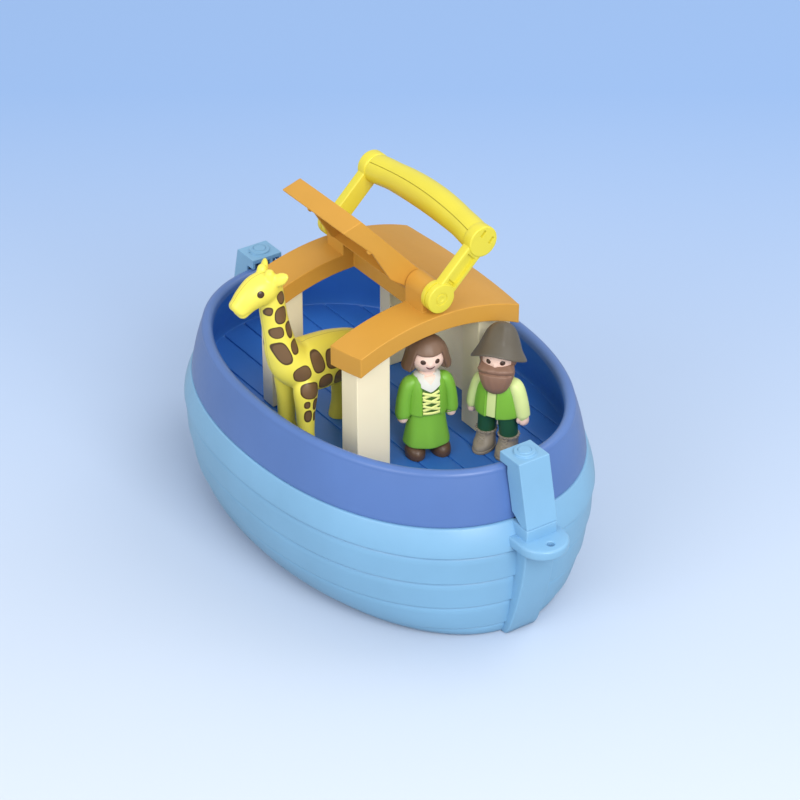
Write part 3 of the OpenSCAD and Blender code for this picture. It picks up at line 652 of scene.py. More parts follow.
arc_normal = np.stack([np.cos(arc_turn), np.sin(arc_turn)], axis=-1)
skin_share = np.linspace(0, 1, 12)[1:-1, None]
skin_points = knuckle_r * arc_normal[-1] + skin_share * (top_corner[:, :1] - knuckle_r * arc_normal[-1])
column_y = np.concatenate([
    pocket_far - rim_steps, np.linspace(pocket_far + 1, pocket_near - 1, column_count),
    pocket_near + rim_steps[::-1], [-5, -3, -1.4],
])
column_lift = np.concatenate([rim_lift, np.full(column_count, np.inf), rim_lift[::-1], np.zeros(3)])
column_z = np.interp(column_y, under_y, under_z)
pocket_roof = top_in[1] + top_slope * (column_y - top_in[0]) - flap_skin / math.cos(flap_pitch)
column_z = column_z + np.minimum(np.minimum(column_lift, lift_x[:, None]), pocket_roof - column_z)
column_points = np.stack(np.broadcast_arrays(column_y, column_z), axis=-1)
column_normal = under_ways[np.clip(np.searchsorted(under_y, column_y) - 1, 0, 2)]

arc_points = np.broadcast_to(knuckle_r * arc_normal, (len(flap_x), arc_count, 2))
outline = np.concatenate([arc_points, skin_points, top_corner, foot_corner, column_points], axis=1)
outward = np.concatenate([
    np.broadcast_to(arc_normal, arc_points.shape), np.broadcast_to(top_normal, skin_points.shape),
    top_corner_normal, foot_corner_normal, np.broadcast_to(column_normal, column_points.shape),
], axis=1)
outline = outline - quarter_round(flap_half - np.abs(flap_x), flap_round)[:, None, None] * outward
bore_ring = bore_r * unit(outline[0])
bore_x = np.array([flap_half - bore_deep, flap_half])
row_x = np.concatenate([bore_x, flap_x, -bore_x[::-1]])
bores = np.stack([bore_ring, bore_ring])
rows = np.concatenate([bores, outline, bores])
flap_shell = poled(xyz(row_x[:, None], rows[..., 0], rows[..., 1]))

nub_x, nub_fall = end_rounded(-nub_half, nub_half, nub_edge, 3)
nub_turn = full_turn(40)
nub = poled(xyz(
    nub_x[:, None],
    np.outer(nub_r - nub_fall, np.cos(nub_turn)) - nub_share * flap_reach,
    np.outer(nub_r - nub_fall, np.sin(nub_turn)) - nub_share * flap_drop,
))
nub_out = flap_half - flap_wall / 2
flap_parts = [flap_shell, nub + [nub_out, 0, 0], nub - [nub_out, 0, 0]]
roof_flap = surfaced(
    "roof_flap_moulding", closed([opened(part) for part in flap_parts]), orange, "flap", 22
)
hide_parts("roof_flap")

# Carrying handle: a yellow frame of two arms, each with an eye on a pin, a channel down its
# outer face and a round head. The grip is moulded in two halves that meet along a seam.
yellow = moulded("handle_yellow_plastic", (223, 210, 64), roughness=0.34)
handle_tilt = math.radians(46)
eye_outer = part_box("handle_frame")[1].x / MM
eye_inner = 38.3
eye_radius = 6.9
eye_edge, eye_groove = 0.5, 0.5
arm_len = 31
arm_inner = 39
arm_outer = 43.8
arm_half = 4.6
arm_corner = 0.7
channel_depth = 1.5
notch_depth = 1.0
head_radius = 7.3
head_inner = arm_inner - 0.6
head_outer = 44.4
head_inner_edge, head_outer_edge = 1.4, 0.7
slot_y, slot_z, slot_half_w, slot_half_h = 3.0, 2.6, 0.6, 1.6
slot_depth, slot_soft = 1.2, 0.2
grip_half_len = 39
grip_radius = 7.2
grip_end_radius = 5.8
grip_flare = 0.9
grip_bow = 3
grip_seam = 0.3
tongue_share, tongue_gap = 0.85, 0.02


def smooth(low, high, value):
    """From 0 at low to 1 at high along a smooth step."""
    t = np.clip((value - low) / (high - low), 0, 1)
    return t * t * (3 - 2 * t)


def leaned(points):
    """Points in millimetres, drawn upright over the hinge, turned back about it to their lean."""
    x, y, z = np.moveaxis(points, -1, 0)
    c, s = math.cos(handle_tilt), math.sin(handle_tilt)
    return xyz(x, y * c + z * s, z * c - y * s + hinge_z / MM) * MM


def turned(profile, middle_z, steps=96):
    """A solid turned about the pin's direction: each row of the profile is (x, radius)."""
    x, radius = np.array(profile, float).T
    angle = full_turn(steps)
    return xyz(x[:, None], np.outer(radius, np.cos(angle)), middle_z + np.outer(radius, np.sin(angle)))


def edge_arc(x, radius, size, towards):
    """Profile points of a rounded rim: from the turned side to the face that looks along x."""
    t = np.linspace(0, np.pi / 2, 5)
    return np.stack([x - towards * size * (1 - np.sin(t)), radius - size * (1 - np.cos(t))], axis=-1)


eye_profile = np.concatenate([
    [[eye_inner, 0]],
    edge_arc(eye_inner, eye_radius, eye_edge, -1)[::-1],
    [[40.9, eye_radius], [41.05, eye_radius - eye_groove]],
    [[41.65, eye_radius - eye_groove], [41.8, eye_radius]],
    edge_arc(eye_outer, eye_radius, eye_edge, 1),
    [[eye_outer, 3.1], [eye_outer - 0.3, 2.95], [eye_outer - 0.3, 2.45], [eye_outer, 2.3]],
    [[eye_outer, 1.2], [eye_outer - 0.2, 1.0], [eye_outer - 0.2, 0]],
])
handle_eye = turned(eye_profile, 0)
head_profile = np.concatenate([
    [[head_inner, 0]],
    edge_arc(head_inner, head_radius, head_inner_edge, -1)[::-1],
    edge_arc(head_outer, head_radius, head_outer_edge, 1),
    np.stack([np.full(44, head_outer), np.linspace(head_radius - 0.75, 0, 44)], axis=-1),
])
handle_head = turned(head_profile, arm_len, 192)
slot_far = np.maximum(
    np.abs(np.abs(handle_head[..., 1]) - slot_y) - slot_half_w,
    np.abs(handle_head[..., 2] - arm_len - slot_z) - slot_half_h,
)
slot_cut = np.clip(0.5 - slot_far / slot_soft, 0, 1) * (handle_head[..., 0] > head_outer - 0.01)
handle_head[..., 0] -= slot_depth * slot_cut

arm_z = np.concatenate([
    [3, 7.3, 7.6, 7.8, 8.7, 8.9, 9.2], np.linspace(10, 21.5, 12), [22.2, 22.7, 22.9, 23.4, 28],
])
arm_cut = channel_depth * smooth(7.5, 7.8, arm_z) * (1 - smooth(22.6, 23, arm_z))
arm_cut = arm_cut + notch_depth * smooth(7.5, 7.8, arm_z) * (1 - smooth(8.7, 9, arm_z))
face_y = np.array([-3.9, -2.85, -2.6, -1.3, 0, 1.3, 2.6, 2.85, 3.9])
face_cut = np.array([0, 0, 1, 1, 1, 1, 1, 0, 0])
bend = np.linspace(0, np.pi / 2, 5)
flat = arm_half - arm_corner
arm_y = np.concatenate([
    face_y, flat + arm_corner * np.sin(bend), flat + arm_corner * np.cos(bend),
    -flat - arm_corner * np.sin(bend), -flat - arm_corner * np.cos(bend),
])
arm_x = np.concatenate([
    np.full(len(face_y), arm_outer),
    arm_outer - arm_corner * (1 - np.cos(bend)), arm_inner + arm_corner * (1 - np.sin(bend)),
    arm_inner + arm_corner * (1 - np.cos(bend)), arm_outer - arm_corner * (1 - np.sin(bend)),
])
arm_inset = np.zeros((len(arm_z), len(arm_y)))
arm_inset[:, : len(face_y)] = np.outer(arm_cut, face_cut)
handle_arm = poled(xyz(arm_x - arm_inset, arm_y, arm_z[:, None]))


def grip_side(side, tongue):
    """Half of the grip: a half-round section whose middle bows up and whose radius is least near
    the ends, where it flares into the heads. A flat tongue can stand on it to fill the seam."""
    x = np.linspace(-grip_half_len, grip_half_len, 81)
    share = (x / grip_half_len) ** 2
    radius = grip_radius - (grip_radius - grip_end_radius) * share + grip_flare * smooth(24, 39, np.abs(x))
    middle = arm_len + grip_bow * (1 - share)
    w = np.linspace(0, np.pi, 33)
    y = np.outer(radius, np.cos(w))
    z = middle[:, None] + side * (grip_seam / 2 + np.outer(radius, np.sin(w)))
    tongue_y = np.outer(radius, tongue_share * np.array([-1, -1, 1, 1]))
    tongue_z = middle[:, None] + side * (grip_seam / 2 - tongue * np.array([0, 1, 1, 0]))
    y, z = np.concatenate([y, tongue_y], axis=1), np.concatenate([z, tongue_z], axis=1)
    return poled(xyz(x[:, None], y, z))


handle_parts = [part * end for part in (handle_eye, handle_head, handle_arm) for end in (1, mirror)]
handle_parts.append(grip_side(-1, grip_seam - tongue_gap))
handle_surfaces = closed([leaned(part) for part in handle_parts])
handle = surfaced("handle_moulding", handle_surfaces, yellow, "handle", sharp=35)
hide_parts("handle_frame")
grip_surfaces = closed([leaned(grip_side(1, 0))])
grip = surfaced("grip_cover_moulding", grip_surfaces, yellow, "handle", sharp=35)
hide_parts("grip_cover")

# Giraffe: one yellow moulding, standing on the deck with its head over the left side, with
# brown patches printed on its flanks and neck and a brown dot for each eye.
giraffe_place = (-1.4, -47.5, 0)
trunk_stops = [
    (38.5, 34, 2, 3), (37, 34.5, 7.6, 7.6), (31, 36, 11.4, 10.6), (19, 38, 12.6, 11.8), (8, 38.6, 13, 12),
    (-1.3, 42.6, 10.8, 11), (-6.1, 49.6, 8, 9.2), (-8.3, 58, 6.6, 7.4), (-10, 67, 6.1, 6.4),
    (-11.4, 77, 6, 6), (-11.8, 84, 5.6, 5.6),
]
head_stops = [
    (-8, 83.6, 2, 2.4), (-9.6, 84.2, 5, 5), (-13.4, 85, 7.1, 6.9), (-18.5, 84.2, 7.5, 7),
    (-23.5, 81.8, 6.3, 6), (-27, 79, 5.3, 5.1), (-29, 77.4, 4.9, 4.6), (-30.1, 76.6, 3.4, 3.2),
]
leg_stops = [
    (0, 0, 5.1, 4.8), (-0.2, 0.6, 5.4, 5), (-0.1, 4, 4.8, 4.5), (0, 9, 4.1, 4), (0.2, 20, 4.5, 4.4),
    (0.4, 30, 5.7, 5.3), (0.5, 35, 4.8, 4.4), (0.5, 38.6, 2.8, 2.4), (0.5, 39.4, 1, 0.8),
]
horn_stops = [(-13.8, 87, 3.2, 3), (-13.8, 91, 2.6, 2.5), (-13.8, 93.6, 2, 1.9), (-13.8, 94.6, 0.8, 0.8)]
horn_x = 3
ear_stops = [(0, -3, 1.4, 1.9), (0, 0.6, 1.7, 2.6), (0, 3.6, 1.6, 2.9), (0, 6, 1.2, 2), (0, 7.4, 0.6, 0.9)]
ear_foot, ear_way, ear_face = (4.6, -12.2, 88.8), (0.66, 0.52, 0.54), (0.37, -0.85, 0.37)
mouth_line = [(-31.8, 77.2), (-28.4, 76), (-25.8, 77)]
mouth_depth, mouth_half = 0.5, 0.55
leg_places = [(-8, 0, 0), (-8, 29, 0), (8, 0, 0), (8, 29, 0)]
skin_voxel, skin_rounds = 0.5 * MM, 8
giraffe_patches = [
    (-9.6, 80.4, 2.2, 3.3, 20), (-15.4, 74.6, 1.5, 2.3, -10), (-10.2, 72, 3.1, 4.3, 0),
    (-6.2, 63.4, 2, 4.2, 12), (-12.2, 63.6, 2.9, 3, 10), (-4.4, 54.6, 2.2, 3.4, 5), (-10.4, 53, 3.1, 6, 22),
    (-2.6, 41.4, 4.1, 4, 15), (0.4, 32.6, 4.5, 3.9, -10), (-1.6, 25.8, 1.4, 2, 0), (-1, 19.6, 1.8, 3.3, 0),
    (2.6, 25, 1.6, 3.2, 0), (2.6, 18.4, 1.2, 2.6, 0), (5.6, 44.6, 3.2, 4.9, 8), (9.2, 34, 3.5, 4.2, 10),
    (13.4, 43.8, 3.7, 4.2, -8), (17.8, 33.8, 4.1, 4.6, 5), (21.8, 43.4, 3.8, 3.6, 10),
    (26.4, 34.8, 3.6, 4.4, -8), (29.6, 42, 2.8, 2.8, 0), (33.6, 34.4, 2.7, 4, 5), (28.4, 25.2, 3, 3.2, 0),
    (27.8, 18, 1.7, 2.6, 0), (31.4, 19.4, 1.3, 2.6, 0),
]
patch_power = 2.6
print_facing, print_fade = 0.25, 6


def through(stops, count):
    """Evenly spaced places on a smooth curve that passes through every stop (Catmull-Rom)."""
    stops = np.array(stops, float)
    p = np.vstack([2 * stops[0] - stops[1], stops, 2 * stops[-1] - stops[-2]])
    s = np.linspace(0, len(stops) - 1, count)
    i = np.minimum(s.astype(int), len(stops) - 2)
    t = (s - i)[:, None]
    a, b, c, d = p[i], p[i + 1], p[i + 2], p[i + 3]
    cubic = (3 * b - a - 3 * c + d) * t**3
    return 0.5 * (2 * b + (c - a) * t + (2 * a - 5 * b + 4 * c - d) * t**2 + cubic)


def limb(stops, count=60, sides=48):
    """A closed tube in millimetres along stops of (y, z, half-depth, half-width): an ellipse square
    to the smooth path at each place."""
    y, z, depth, width = through(stops, count).T
    depth, width = np.maximum(depth, 0.1), np.maximum(width, 0.1)
    along = np.gradient(np.stack([y, z]), axis=1)
    along = along / np.linalg.norm(along, axis=0)
    angle = full_turn(sides)
    swing = depth[:, None] * np.cos(angle)
    return poled(xyz(
        np.outer(width, np.sin(angle)),
        y[:, None] + along[1][:, None] * swing,
        z[:, None] - along[0][:, None] * swing,
    ))


def stood(points, place, turn=0):
    """Points in millimetres turned about the upright axis and set down on the deck at a place."""
    x, y, z = np.moveaxis(points, -1, 0)
    c, s = math.cos(turn), math.sin(turn)
    across, along, up = place
    return xyz(across + x * c - y * s, along + x * s + y * c, up + z + deck_z / MM) * MM


def pointed(points, foot, direction, face):
    """Points drawn up z turned so that z lies along a direction and -y looks towards a face."""
    up = unit(np.array(direction, float))
    side = unit(np.cross(up, face))
    return np.array(foot) + points @ np.stack([side, np.cross(up, side), up])


def melted(name, surfaces):
    """One mesh round overlapping closed surfaces: a skin of small even faces, then smoothed."""
    raw = bpy.data.objects.new(name, welded(name, surfaces))
    bpy.context.scene.collection.objects.link(raw)
    skin_over = raw.modifiers.new("one_skin", "REMESH")
    skin_over.mode = "VOXEL"
    skin_over.voxel_size = skin_voxel
    even = raw.modifiers.new("evened", "SMOOTH")
    even.factor = 0.5
    even.iterations = skin_rounds
    mesh = bpy.data.meshes.new_from_object(raw.evaluated_get(bpy.context.evaluated_depsgraph_get()))
    bpy.data.objects.remove(raw)
    mesh.shade_smooth()
    return mesh


def vertex_rows(mesh, what):
    """The place or the normal of each vertex of a mesh, one row each."""
    values = np.empty(len(mesh.vertices) * 3)
    mesh.vertices.foreach_get(what, values)
    return values.reshape(-1, 3)


def near_line(points, line):
    """Distance of places in a plane from a broken line."""
    start = np.array(line[:-1], float)
    along = np.array(line[1:], float) - start
    t = np.clip(((points[:, None] - start) * along).sum(-1) / (along**2).sum(-1), 0, 1)
    return np.linalg.norm(points[:, None] - start - t[..., None] * along, axis=-1).min(axis=1)


def patch_field(local, normals):
    """How far inside the nearest printed patch each place lies, in millimetres. A patch is a leaning
    superellipse seen from the side: its half-width less the distance from its middle. The print
    stops where the surface no longer faces outwards."""
    y, z, wide, high, lean = np.array(giraffe_patches, float).T
    c, s = np.cos(np.radians(lean)), np.sin(np.radians(lean))
    across = local[:, 1:2] - y
    rise = local[:, 2:3] - z
    u = (across * c + rise * s) / wide
    v = (rise * c - across * s) / high
    reach = (np.abs(u) ** patch_power + np.abs(v) ** patch_power) ** (1 / patch_power)
    inside = ((1 - reach) * np.minimum(wide, high)).max(axis=1)
    outward = np.sign(local[:, 0]) * normals[:, 0]
    return np.minimum(inside, (outward - print_facing) * print_fade)


legs = [limb(leg_stops) + np.array(place) for place in leg_places]
horn = limb(horn_stops, 30, 32) + np.array([horn_x, 0, 0])
ear = pointed(limb(ear_stops, 40, 32), ear_foot, ear_way, ear_face)
giraffe_parts = [limb(trunk_stops, 120), limb(head_stops, 90), *legs, horn, horn * mirror, ear, ear * mirror]
giraffe_mesh = melted("giraffe_moulding", closed([stood(part, giraffe_place) for part in giraffe_parts]))
giraffe_rows = vertex_rows(giraffe_mesh, "co")
giraffe_out = vertex_rows(giraffe_mesh, "normal")
giraffe_local = giraffe_rows / MM - np.array([giraffe_place[0], giraffe_place[1], deck_z / MM])
mouth_cut = mouth_depth * np.exp(-((near_line(giraffe_local[:, 1:], mouth_line) / mouth_half) ** 2))
giraffe_rows = giraffe_rows - giraffe_out * mouth_cut[:, None] * MM
giraffe_mesh.vertices.foreach_set("co", giraffe_rows.ravel())
print_layer = giraffe_mesh.attributes.new("print", "FLOAT", "POINT")
print_layer.data.foreach_set("value", patch_field(giraffe_local, giraffe_out))
giraffe_yellow = moulded("giraffe_yellow_plastic", (241, 227, 88))
giraffe = show(giraffe_mesh, "giraffe_moulding", giraffe_yellow, "ark")
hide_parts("giraffe")


def overlaid(tree, value, low, high, colour):
    """Lays a colour over a material's own: not at all where a value is low, fully where it is high."""
    step_ends = {"From Min": low, "From Max": high}
    step = add_node(tree, "MapRange", step_ends, interpolation_type="SMOOTHSTEP")
    over = add_node(tree, "Mix", {"B": linear(*colour)}, data_type="RGBA")
    base = tree.nodes["Principled BSDF"].inputs["Base Color"]
    tree.links.new(value, step.inputs["Value"])
    tree.links.new(step.outputs["Result"], over.inputs["Factor"])
    tree.links.new(base.links[0].from_socket, over.inputs["A"])
    tree.links.new(over.outputs["Result"], base)


def printed_giraffe(tree):
    """Brown patches with a dark rim from the print layer, and the faint line in the middle of the
    giraffe where the two halves of its mould met."""
    seam_edge, seam_middle = 0.25 * MM, 0.08 * MM
    rim_soft = 0.08
    patch_start, patch_full = 0.3, 0.7
    layer = add_node(tree, "Attribute", attribute_name="print")
    place = add_node(tree, "TexCoord")
    split = add_node(tree, "SeparateXYZ")
    middle = add_node(tree, "Math", {1: giraffe_place[0] * MM}, operation="SUBTRACT")
    distance = add_node(tree, "Math", operation="ABSOLUTE")
    wire(
        tree,
        (place, "Object", split, "Vector"),
        (split, "X", middle, 0),
        (middle, "Value", distance, 0),
    )
    overlaid(tree, distance.outputs["Value"], seam_edge, seam_middle, (196, 184, 62))
    overlaid(tree, layer.outputs["Fac"], -rim_soft, rim_soft, (80, 58, 32))
    overlaid(tree, layer.outputs["Fac"], patch_start, patch_full, (116, 88, 58))


printed_giraffe(giraffe_yellow.node_tree)
dome_spread = np.array([0.02, 0.35, 0.65, 0.88, 1, 0.9, 0.02])


def button(middle, outward, up, radius, dome):
    """A closed domed disc in millimetres: rows run from its crown to its rim and back underneath."""
    n = unit(np.array(outward, float))
    side = unit(np.cross(up, n))
    rise = np.cross(n, side)
    lift = np.array([1, 0.9, 0.62, 0.3, 0, -0.4, -0.5]) * dome
    angle = full_turn(32)
    flat_x = np.outer(dome_spread * radius, np.cos(angle))[..., None] * side
    flat_z = np.outer(dome_spread * radius, np.sin(angle))[..., None] * rise
    return poled(np.array(middle) + flat_x + flat_z + lift[:, None, None] * n)


eye_brown = moulded("eye_brown_print", (70, 48, 34), roughness=0.25)
eye_y, eye_z, eye_r, eye_dome = -20.6, 86.2, 1.65, 0.4
eye_far = np.linalg.norm(giraffe_local[:, 1:] - [eye_y, eye_z], axis=1) + 99 * (giraffe_out[:, 0] < 0.3)
eye_spot = np.argmin(eye_far)
giraffe_eye = button(giraffe_local[eye_spot], giraffe_out[eye_spot], (0, 0, 1), eye_r, eye_dome)
eye_parts = [stood(part, giraffe_place) for part in (giraffe_eye, giraffe_eye * mirror)]
surfaced("giraffe_eyes", closed(eye_parts), eye_brown)

# Woman: a solid figure on two shoes that stands before the house. The skirt, open jacket and
# sleeves are green; hands, head and neck, hair and shoes are mouldings of their own.
woman_place = (38.5, -3.5, 0)
woman_turn = math.radians(73)
woman_look = math.radians(73 - 5)
jacket_green = moulded("jacket_green_plastic", (124, 182, 60), roughness=0.42)
# Dark green of the sheet behind the laces: painted shade of the jacket's opening.
placket_shade_green = moulded("placket_painted_shade", (70, 106, 42), roughness=0.5)
skin = moulded("skin_plastic", (243, 208, 190), roughness=0.42)
hair_brown = moulded("hair_brown_plastic", (120, 92, 72), roughness=0.45)
shoe_brown = moulded("shoe_brown_plastic", (98, 72, 52), roughness=0.4)
linen = moulded("linen_plastic", (218, 218, 208), roughness=0.5)
lace_yellow = moulded("lace_plastic", (226, 232, 142), roughness=0.45)
ring_turn = full_turn(160)


def stacked(stops, count):
    """Level ellipses up through stops of (y, z, half-depth, half-width), starting at the front."""
    y, z, depth, width = through(stops, count).T
    depth_y = np.outer(depth, np.cos(ring_turn))
    return xyz(np.outer(width, np.sin(ring_turn)), y[:, None] - depth_y, z[:, None])


def swelled(rings, amount):
    """Rings moved out level from the upright axis by an amount for each point."""
    away = rings * [1, 1, 0]
    length = np.maximum(np.linalg.norm(away, axis=-1, keepdims=True), 1e-6)
    return rings + away / length * amount[..., None]


def front_of(stops, x, z, lift):
    """Points on the front of a stack of ellipses at places across and up, lifted off it."""
    y, height, depth, width = through(stops, 200).T
    order = np.argsort(height)
    mid = np.interp(z, height[order], y[order])
    deep = np.interp(z, height[order], depth[order])
    wide = np.interp(z, height[order], width[order])
    face = mid - deep * np.sqrt(np.clip(1 - (x / wide) ** 2, 0.02, 1))
    return np.stack([x, face - lift, z], axis=-1)


def strip(stops, ends, half_width, lift, thick):
    """A flat band laid on the front of a stack, from one (x, z) to another, with a rounded section."""
    (x0, z0), (x1, z1) = ends
    t = np.linspace(0, 1, 13)[:, None]
    angle = full_turn(16)
    away = np.array([-(z1 - z0), x1 - x0]) / math.hypot(x1 - x0, z1 - z0)
    x = x0 + (x1 - x0) * t + away[0] * half_width * np.cos(angle)
    z = z0 + (z1 - z0) * t + away[1] * half_width * np.cos(angle)
    return poled(front_of(stops, x, z, lift + thick * np.sin(angle) + 0 * t))


def panel(stops, left, right, z, lift, thick):
    """A thin closed sheet on the front of a stack between a left and a right edge for each height."""
    t = np.linspace(0, 1, 25)
    x = left[:, None] + (right - left)[:, None] * t
    height = np.repeat(z[:, None], len(t), axis=1)
    outer = front_of(stops, x, height, lift)
    inner = front_of(stops, x[:, ::-1], height, lift - thick)
    return poled(np.concatenate([outer, inner], axis=1))


skirt_stops = [
    (-0.2, 6, 8, 10.2), (-0.2, 6.6, 8.5, 10.8), (-0.1, 9, 8.2, 10.4), (0, 15, 7.3, 9.3),
    (0, 21, 6.6, 8.5), (0, 26, 6.4, 8.2),
]
jacket_stops = [
    (0, 22.6, 7.3, 9), (0, 22.8, 7.9, 9.6), (0, 25, 7.9, 9.5), (0, 30, 7.6, 9.2), (0, 36.2, 6.8, 8.6),
    (0, 40.2, 5.4, 7), (0, 41.8, 4, 4.8),
]
sleeve_stops = [
    (-5.4, 38.4, 2.4, 3.2), (-8.4, 36.6, 3.4, 3.9), (-10.4, 30, 3.4, 4), (-11, 22.4, 3.6, 4.1),
    (-11, 21.6, 3.2, 3.7),
]
hand_stops = [(-11, 23, 2.2, 2.4), (-11.2, 20.6, 2.5, 2.9), (-11.3, 18.4, 2.2, 2.6), (-11.4, 17.2, 0.9, 1.2)]
thumb_stops = [(-10.3, 21.8, 1.1, 1), (-9.8, 20.2, 1.1, 1), (-9.7, 19, 0.6, 0.6)]
opening_half, opening_soft, opening_depth = 4.2, 0.25, 0.9
skirt_folds, fold_depth = 7, 0.18
lace_half, lace_rise, lace_thick = 0.66, 2.4, 0.35
both_sides = (1, -1)


def at_side(part, side):
    """A limb drawn towards -y swung round to the figure's left or right side."""
    return xyz(-part[..., 1] * side, part[..., 0] * side, part[..., 2])


skirt = stacked(skirt_stops, 50)
fold_depths = fold_depth * (1 - smooth(8, 24, skirt[..., 2]))
skirt = poled(swelled(skirt, fold_depths * np.cos(skirt_folds * ring_turn)[None]))
jacket = stacked(jacket_stops, 80)
opening = smooth(opening_half - opening_soft, opening_half + opening_soft, np.abs(jacket[..., 0]))
opening = (1 - opening) * (jacket[..., 1] < 0)
jacket = poled(swelled(jacket, -opening_depth * opening))
woman_clothes = [skirt, jacket] + [at_side(limb(sleeve_stops), side) for side in both_sides]


def dressed(name, parts, place, turn, material, sharp=40):
    """A figure's piece from closed parts in millimetres, set down where the figure stands."""
    surfaces = closed([stood(part, place, turn) for part in parts])
    return surfaced(name, surfaces, material, sharp=sharp)


def crossed(stops, lows, reach, rise, half_width, lifts, thick):
    """Laces on the front of a stack: at each height one rises to each side, the second lifted more."""
    return [
        strip(stops, ((-side * reach, low), (side * reach, low + rise)), half_width, lift, thick)
        for low in lows for side, lift in zip(both_sides, lifts)
    ]


woman_body = dressed("woman_clothes", woman_clothes, woman_place, woman_turn, jacket_green)
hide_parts("woman_body")
mitten = [limb(hand_stops, 30, 32), limb(thumb_stops, 20, 20) + np.array([-2.2, 0, 0])]
dressed(
    "woman_hands", [at_side(part, side) for part in mitten for side in both_sides],
    woman_place, woman_turn, skin,
)
# A thin sheet laid in the jacket's opening behind the laces. Its dark green is painted shade of that recess.
shade_sheet_z = np.linspace(23.6, 38, 24)
shade_sheet_edge = np.full(len(shade_sheet_z), opening_half - 0.1)
shade_sheet = panel(jacket_stops, -shade_sheet_edge, shade_sheet_edge, shade_sheet_z, lift=-0.55, thick=0.5)
dressed("woman_placket_painted_shade", [shade_sheet], woman_place, woman_turn, placket_shade_green)
lace_reach = opening_half - 0.3
laces = crossed(
    jacket_stops, (25.8, 29, 32.2), lace_reach, lace_rise, lace_half, (-0.1, 0.05), lace_thick
)
level_lace = ((-lace_reach, 24.4), (lace_reach, 24.4))
laces.append(strip(jacket_stops, level_lace, lace_half, lift=-0.05, thick=lace_thick))
dressed("woman_laces", laces, woman_place, woman_turn, lace_yellow)

collar_foot, collar_start, collar_spread, collar_shoulder = 35.2, 0.6, 1.8, 0.9
gape_foot, gape_spread = 38.4, 0.95
neck_gap = 1.8
collar_z = np.linspace(collar_foot, 41.4, 36)
collar_out = np.minimum(opening_half + 0.2, collar_start + collar_spread * (collar_z - collar_foot))
collar_out = collar_out + collar_shoulder * smooth(38.5, 40.8, collar_z)
collar_in = np.clip((collar_z - gape_foot) * gape_spread, 0.02, None)
collar_flaps = [
    panel(jacket_stops, collar_in * side, collar_out * side, collar_z, lift, thick=1.1)
    for side, lift in zip(both_sides, (0.3, 0.5))
]
neck_band = stacked([(0, 39.8, 5.5, 6.9), (0, 40.4, 5.4, 6.7), (0, 41.4, 4.8, 5.7), (0, 42.3, 4.2, 4.6)], 24)
neck_open = 1 - smooth(0.4, 0.52, np.abs(np.arctan2(np.sin(ring_turn), np.cos(ring_turn))))
neck_band = poled(swelled(neck_band, -neck_gap * neck_open[None] + 0 * neck_band[..., 2]))
dressed("woman_collar", [*collar_flaps, neck_band], woman_place, woman_turn, linen)
throat_z = np.linspace(37, 41.6, 12)
throat_edge = np.full(len(throat_z), 3.2)
throat = panel(jacket_stops, -throat_edge, throat_edge, throat_z, lift=0.12, thick=0.9)

head_yaw = full_turn(128)
head_pitch = np.linspace(-np.pi / 2, np.pi / 2, 81)
jaw_taper = 0.07
nose_out, nose_pitch, nose_wide, nose_high = 0.55, -0.1, 0.13, 0.15
eyes_apart, eyes_up, eyes_wide, eyes_high = 0.43, 0.12, 0.165, 0.15


def on_head(yaw, pitch, lift, middle_z, radius):
    """Places on a head: a ball, a little narrower at the chin, with a small nose. Yaw 0 looks ahead."""
    turn = np.arctan2(np.sin(yaw), np.cos(yaw))
    jaw = 1 - jaw_taper * smooth(0.1, -0.9, pitch)
    nose = nose_out * np.exp(-((turn / nose_wide) ** 2) - ((pitch - nose_pitch) / nose_high) ** 2)
    size = radius * jaw + nose + lift
    level = size * np.cos(pitch)
    return xyz(level * np.sin(yaw), -level * np.cos(yaw), middle_z + size * np.sin(pitch))


def face_oval(yaw, pitch, wide, high, middle_z, radius, dome=0.28):
    """A closed domed oval on a head, given in angles."""
    spread = dome_spread[:, None]
    lift = np.array([1, 0.9, 0.62, 0.3, 0, -1, -1.2])[:, None] * dome
    angle = full_turn(32)
    return poled(on_head(
        yaw + spread * wide * np.cos(angle), pitch + spread * high * np.sin(angle),
        lift + 0 * angle, middle_z, radius,
    ))


def face_stroke(yaw, pitch, half_width, proud, middle_z, radius):
    """A tapering raised stroke on a head through places given in angles."""
    path = through(np.stack([yaw, pitch], axis=-1), 25)
    taper = half_width * np.sqrt(np.clip(1 - np.linspace(-1, 1, 25) ** 2, 0.03, 1))
    angle = full_turn(14)
    across = path[:, 1:] + np.outer(taper, np.cos(angle))
    lift = proud * np.sin(angle) * (taper / half_width)[:, None]
    return poled(on_head(path[:, :1] + 0 * angle, across, lift, middle_z, radius))


def head_on_neck(middle_z, radius, neck_foot):
    """A head and the neck that it stands on."""
    ball = on_head(head_yaw[None], head_pitch[:, None], 0, middle_z, radius)
    neck_stops = [(0, neck_foot, 3.8, 3.8), (0, neck_foot + 3, 3.7, 3.7), (0, neck_foot + 7, 3.8, 3.8)]
    return [ball, limb(neck_stops, 20)]


woman_head_z, woman_head_r = 49.8, 7.8
woman_head_parts = head_on_neck(woman_head_z, woman_head_r, 38)
woman_head = dressed("woman_head_moulding", woman_head_parts, woman_place, woman_look, skin)
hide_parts("woman_head")


def plain_face(middle_z, radius):
    """Two oval eyes: a plain face drawn for this part."""
    sides = [side * eyes_apart for side in both_sides]
    return [face_oval(yaw, eyes_up, eyes_wide, eyes_high, middle_z, radius) for yaw in sides]


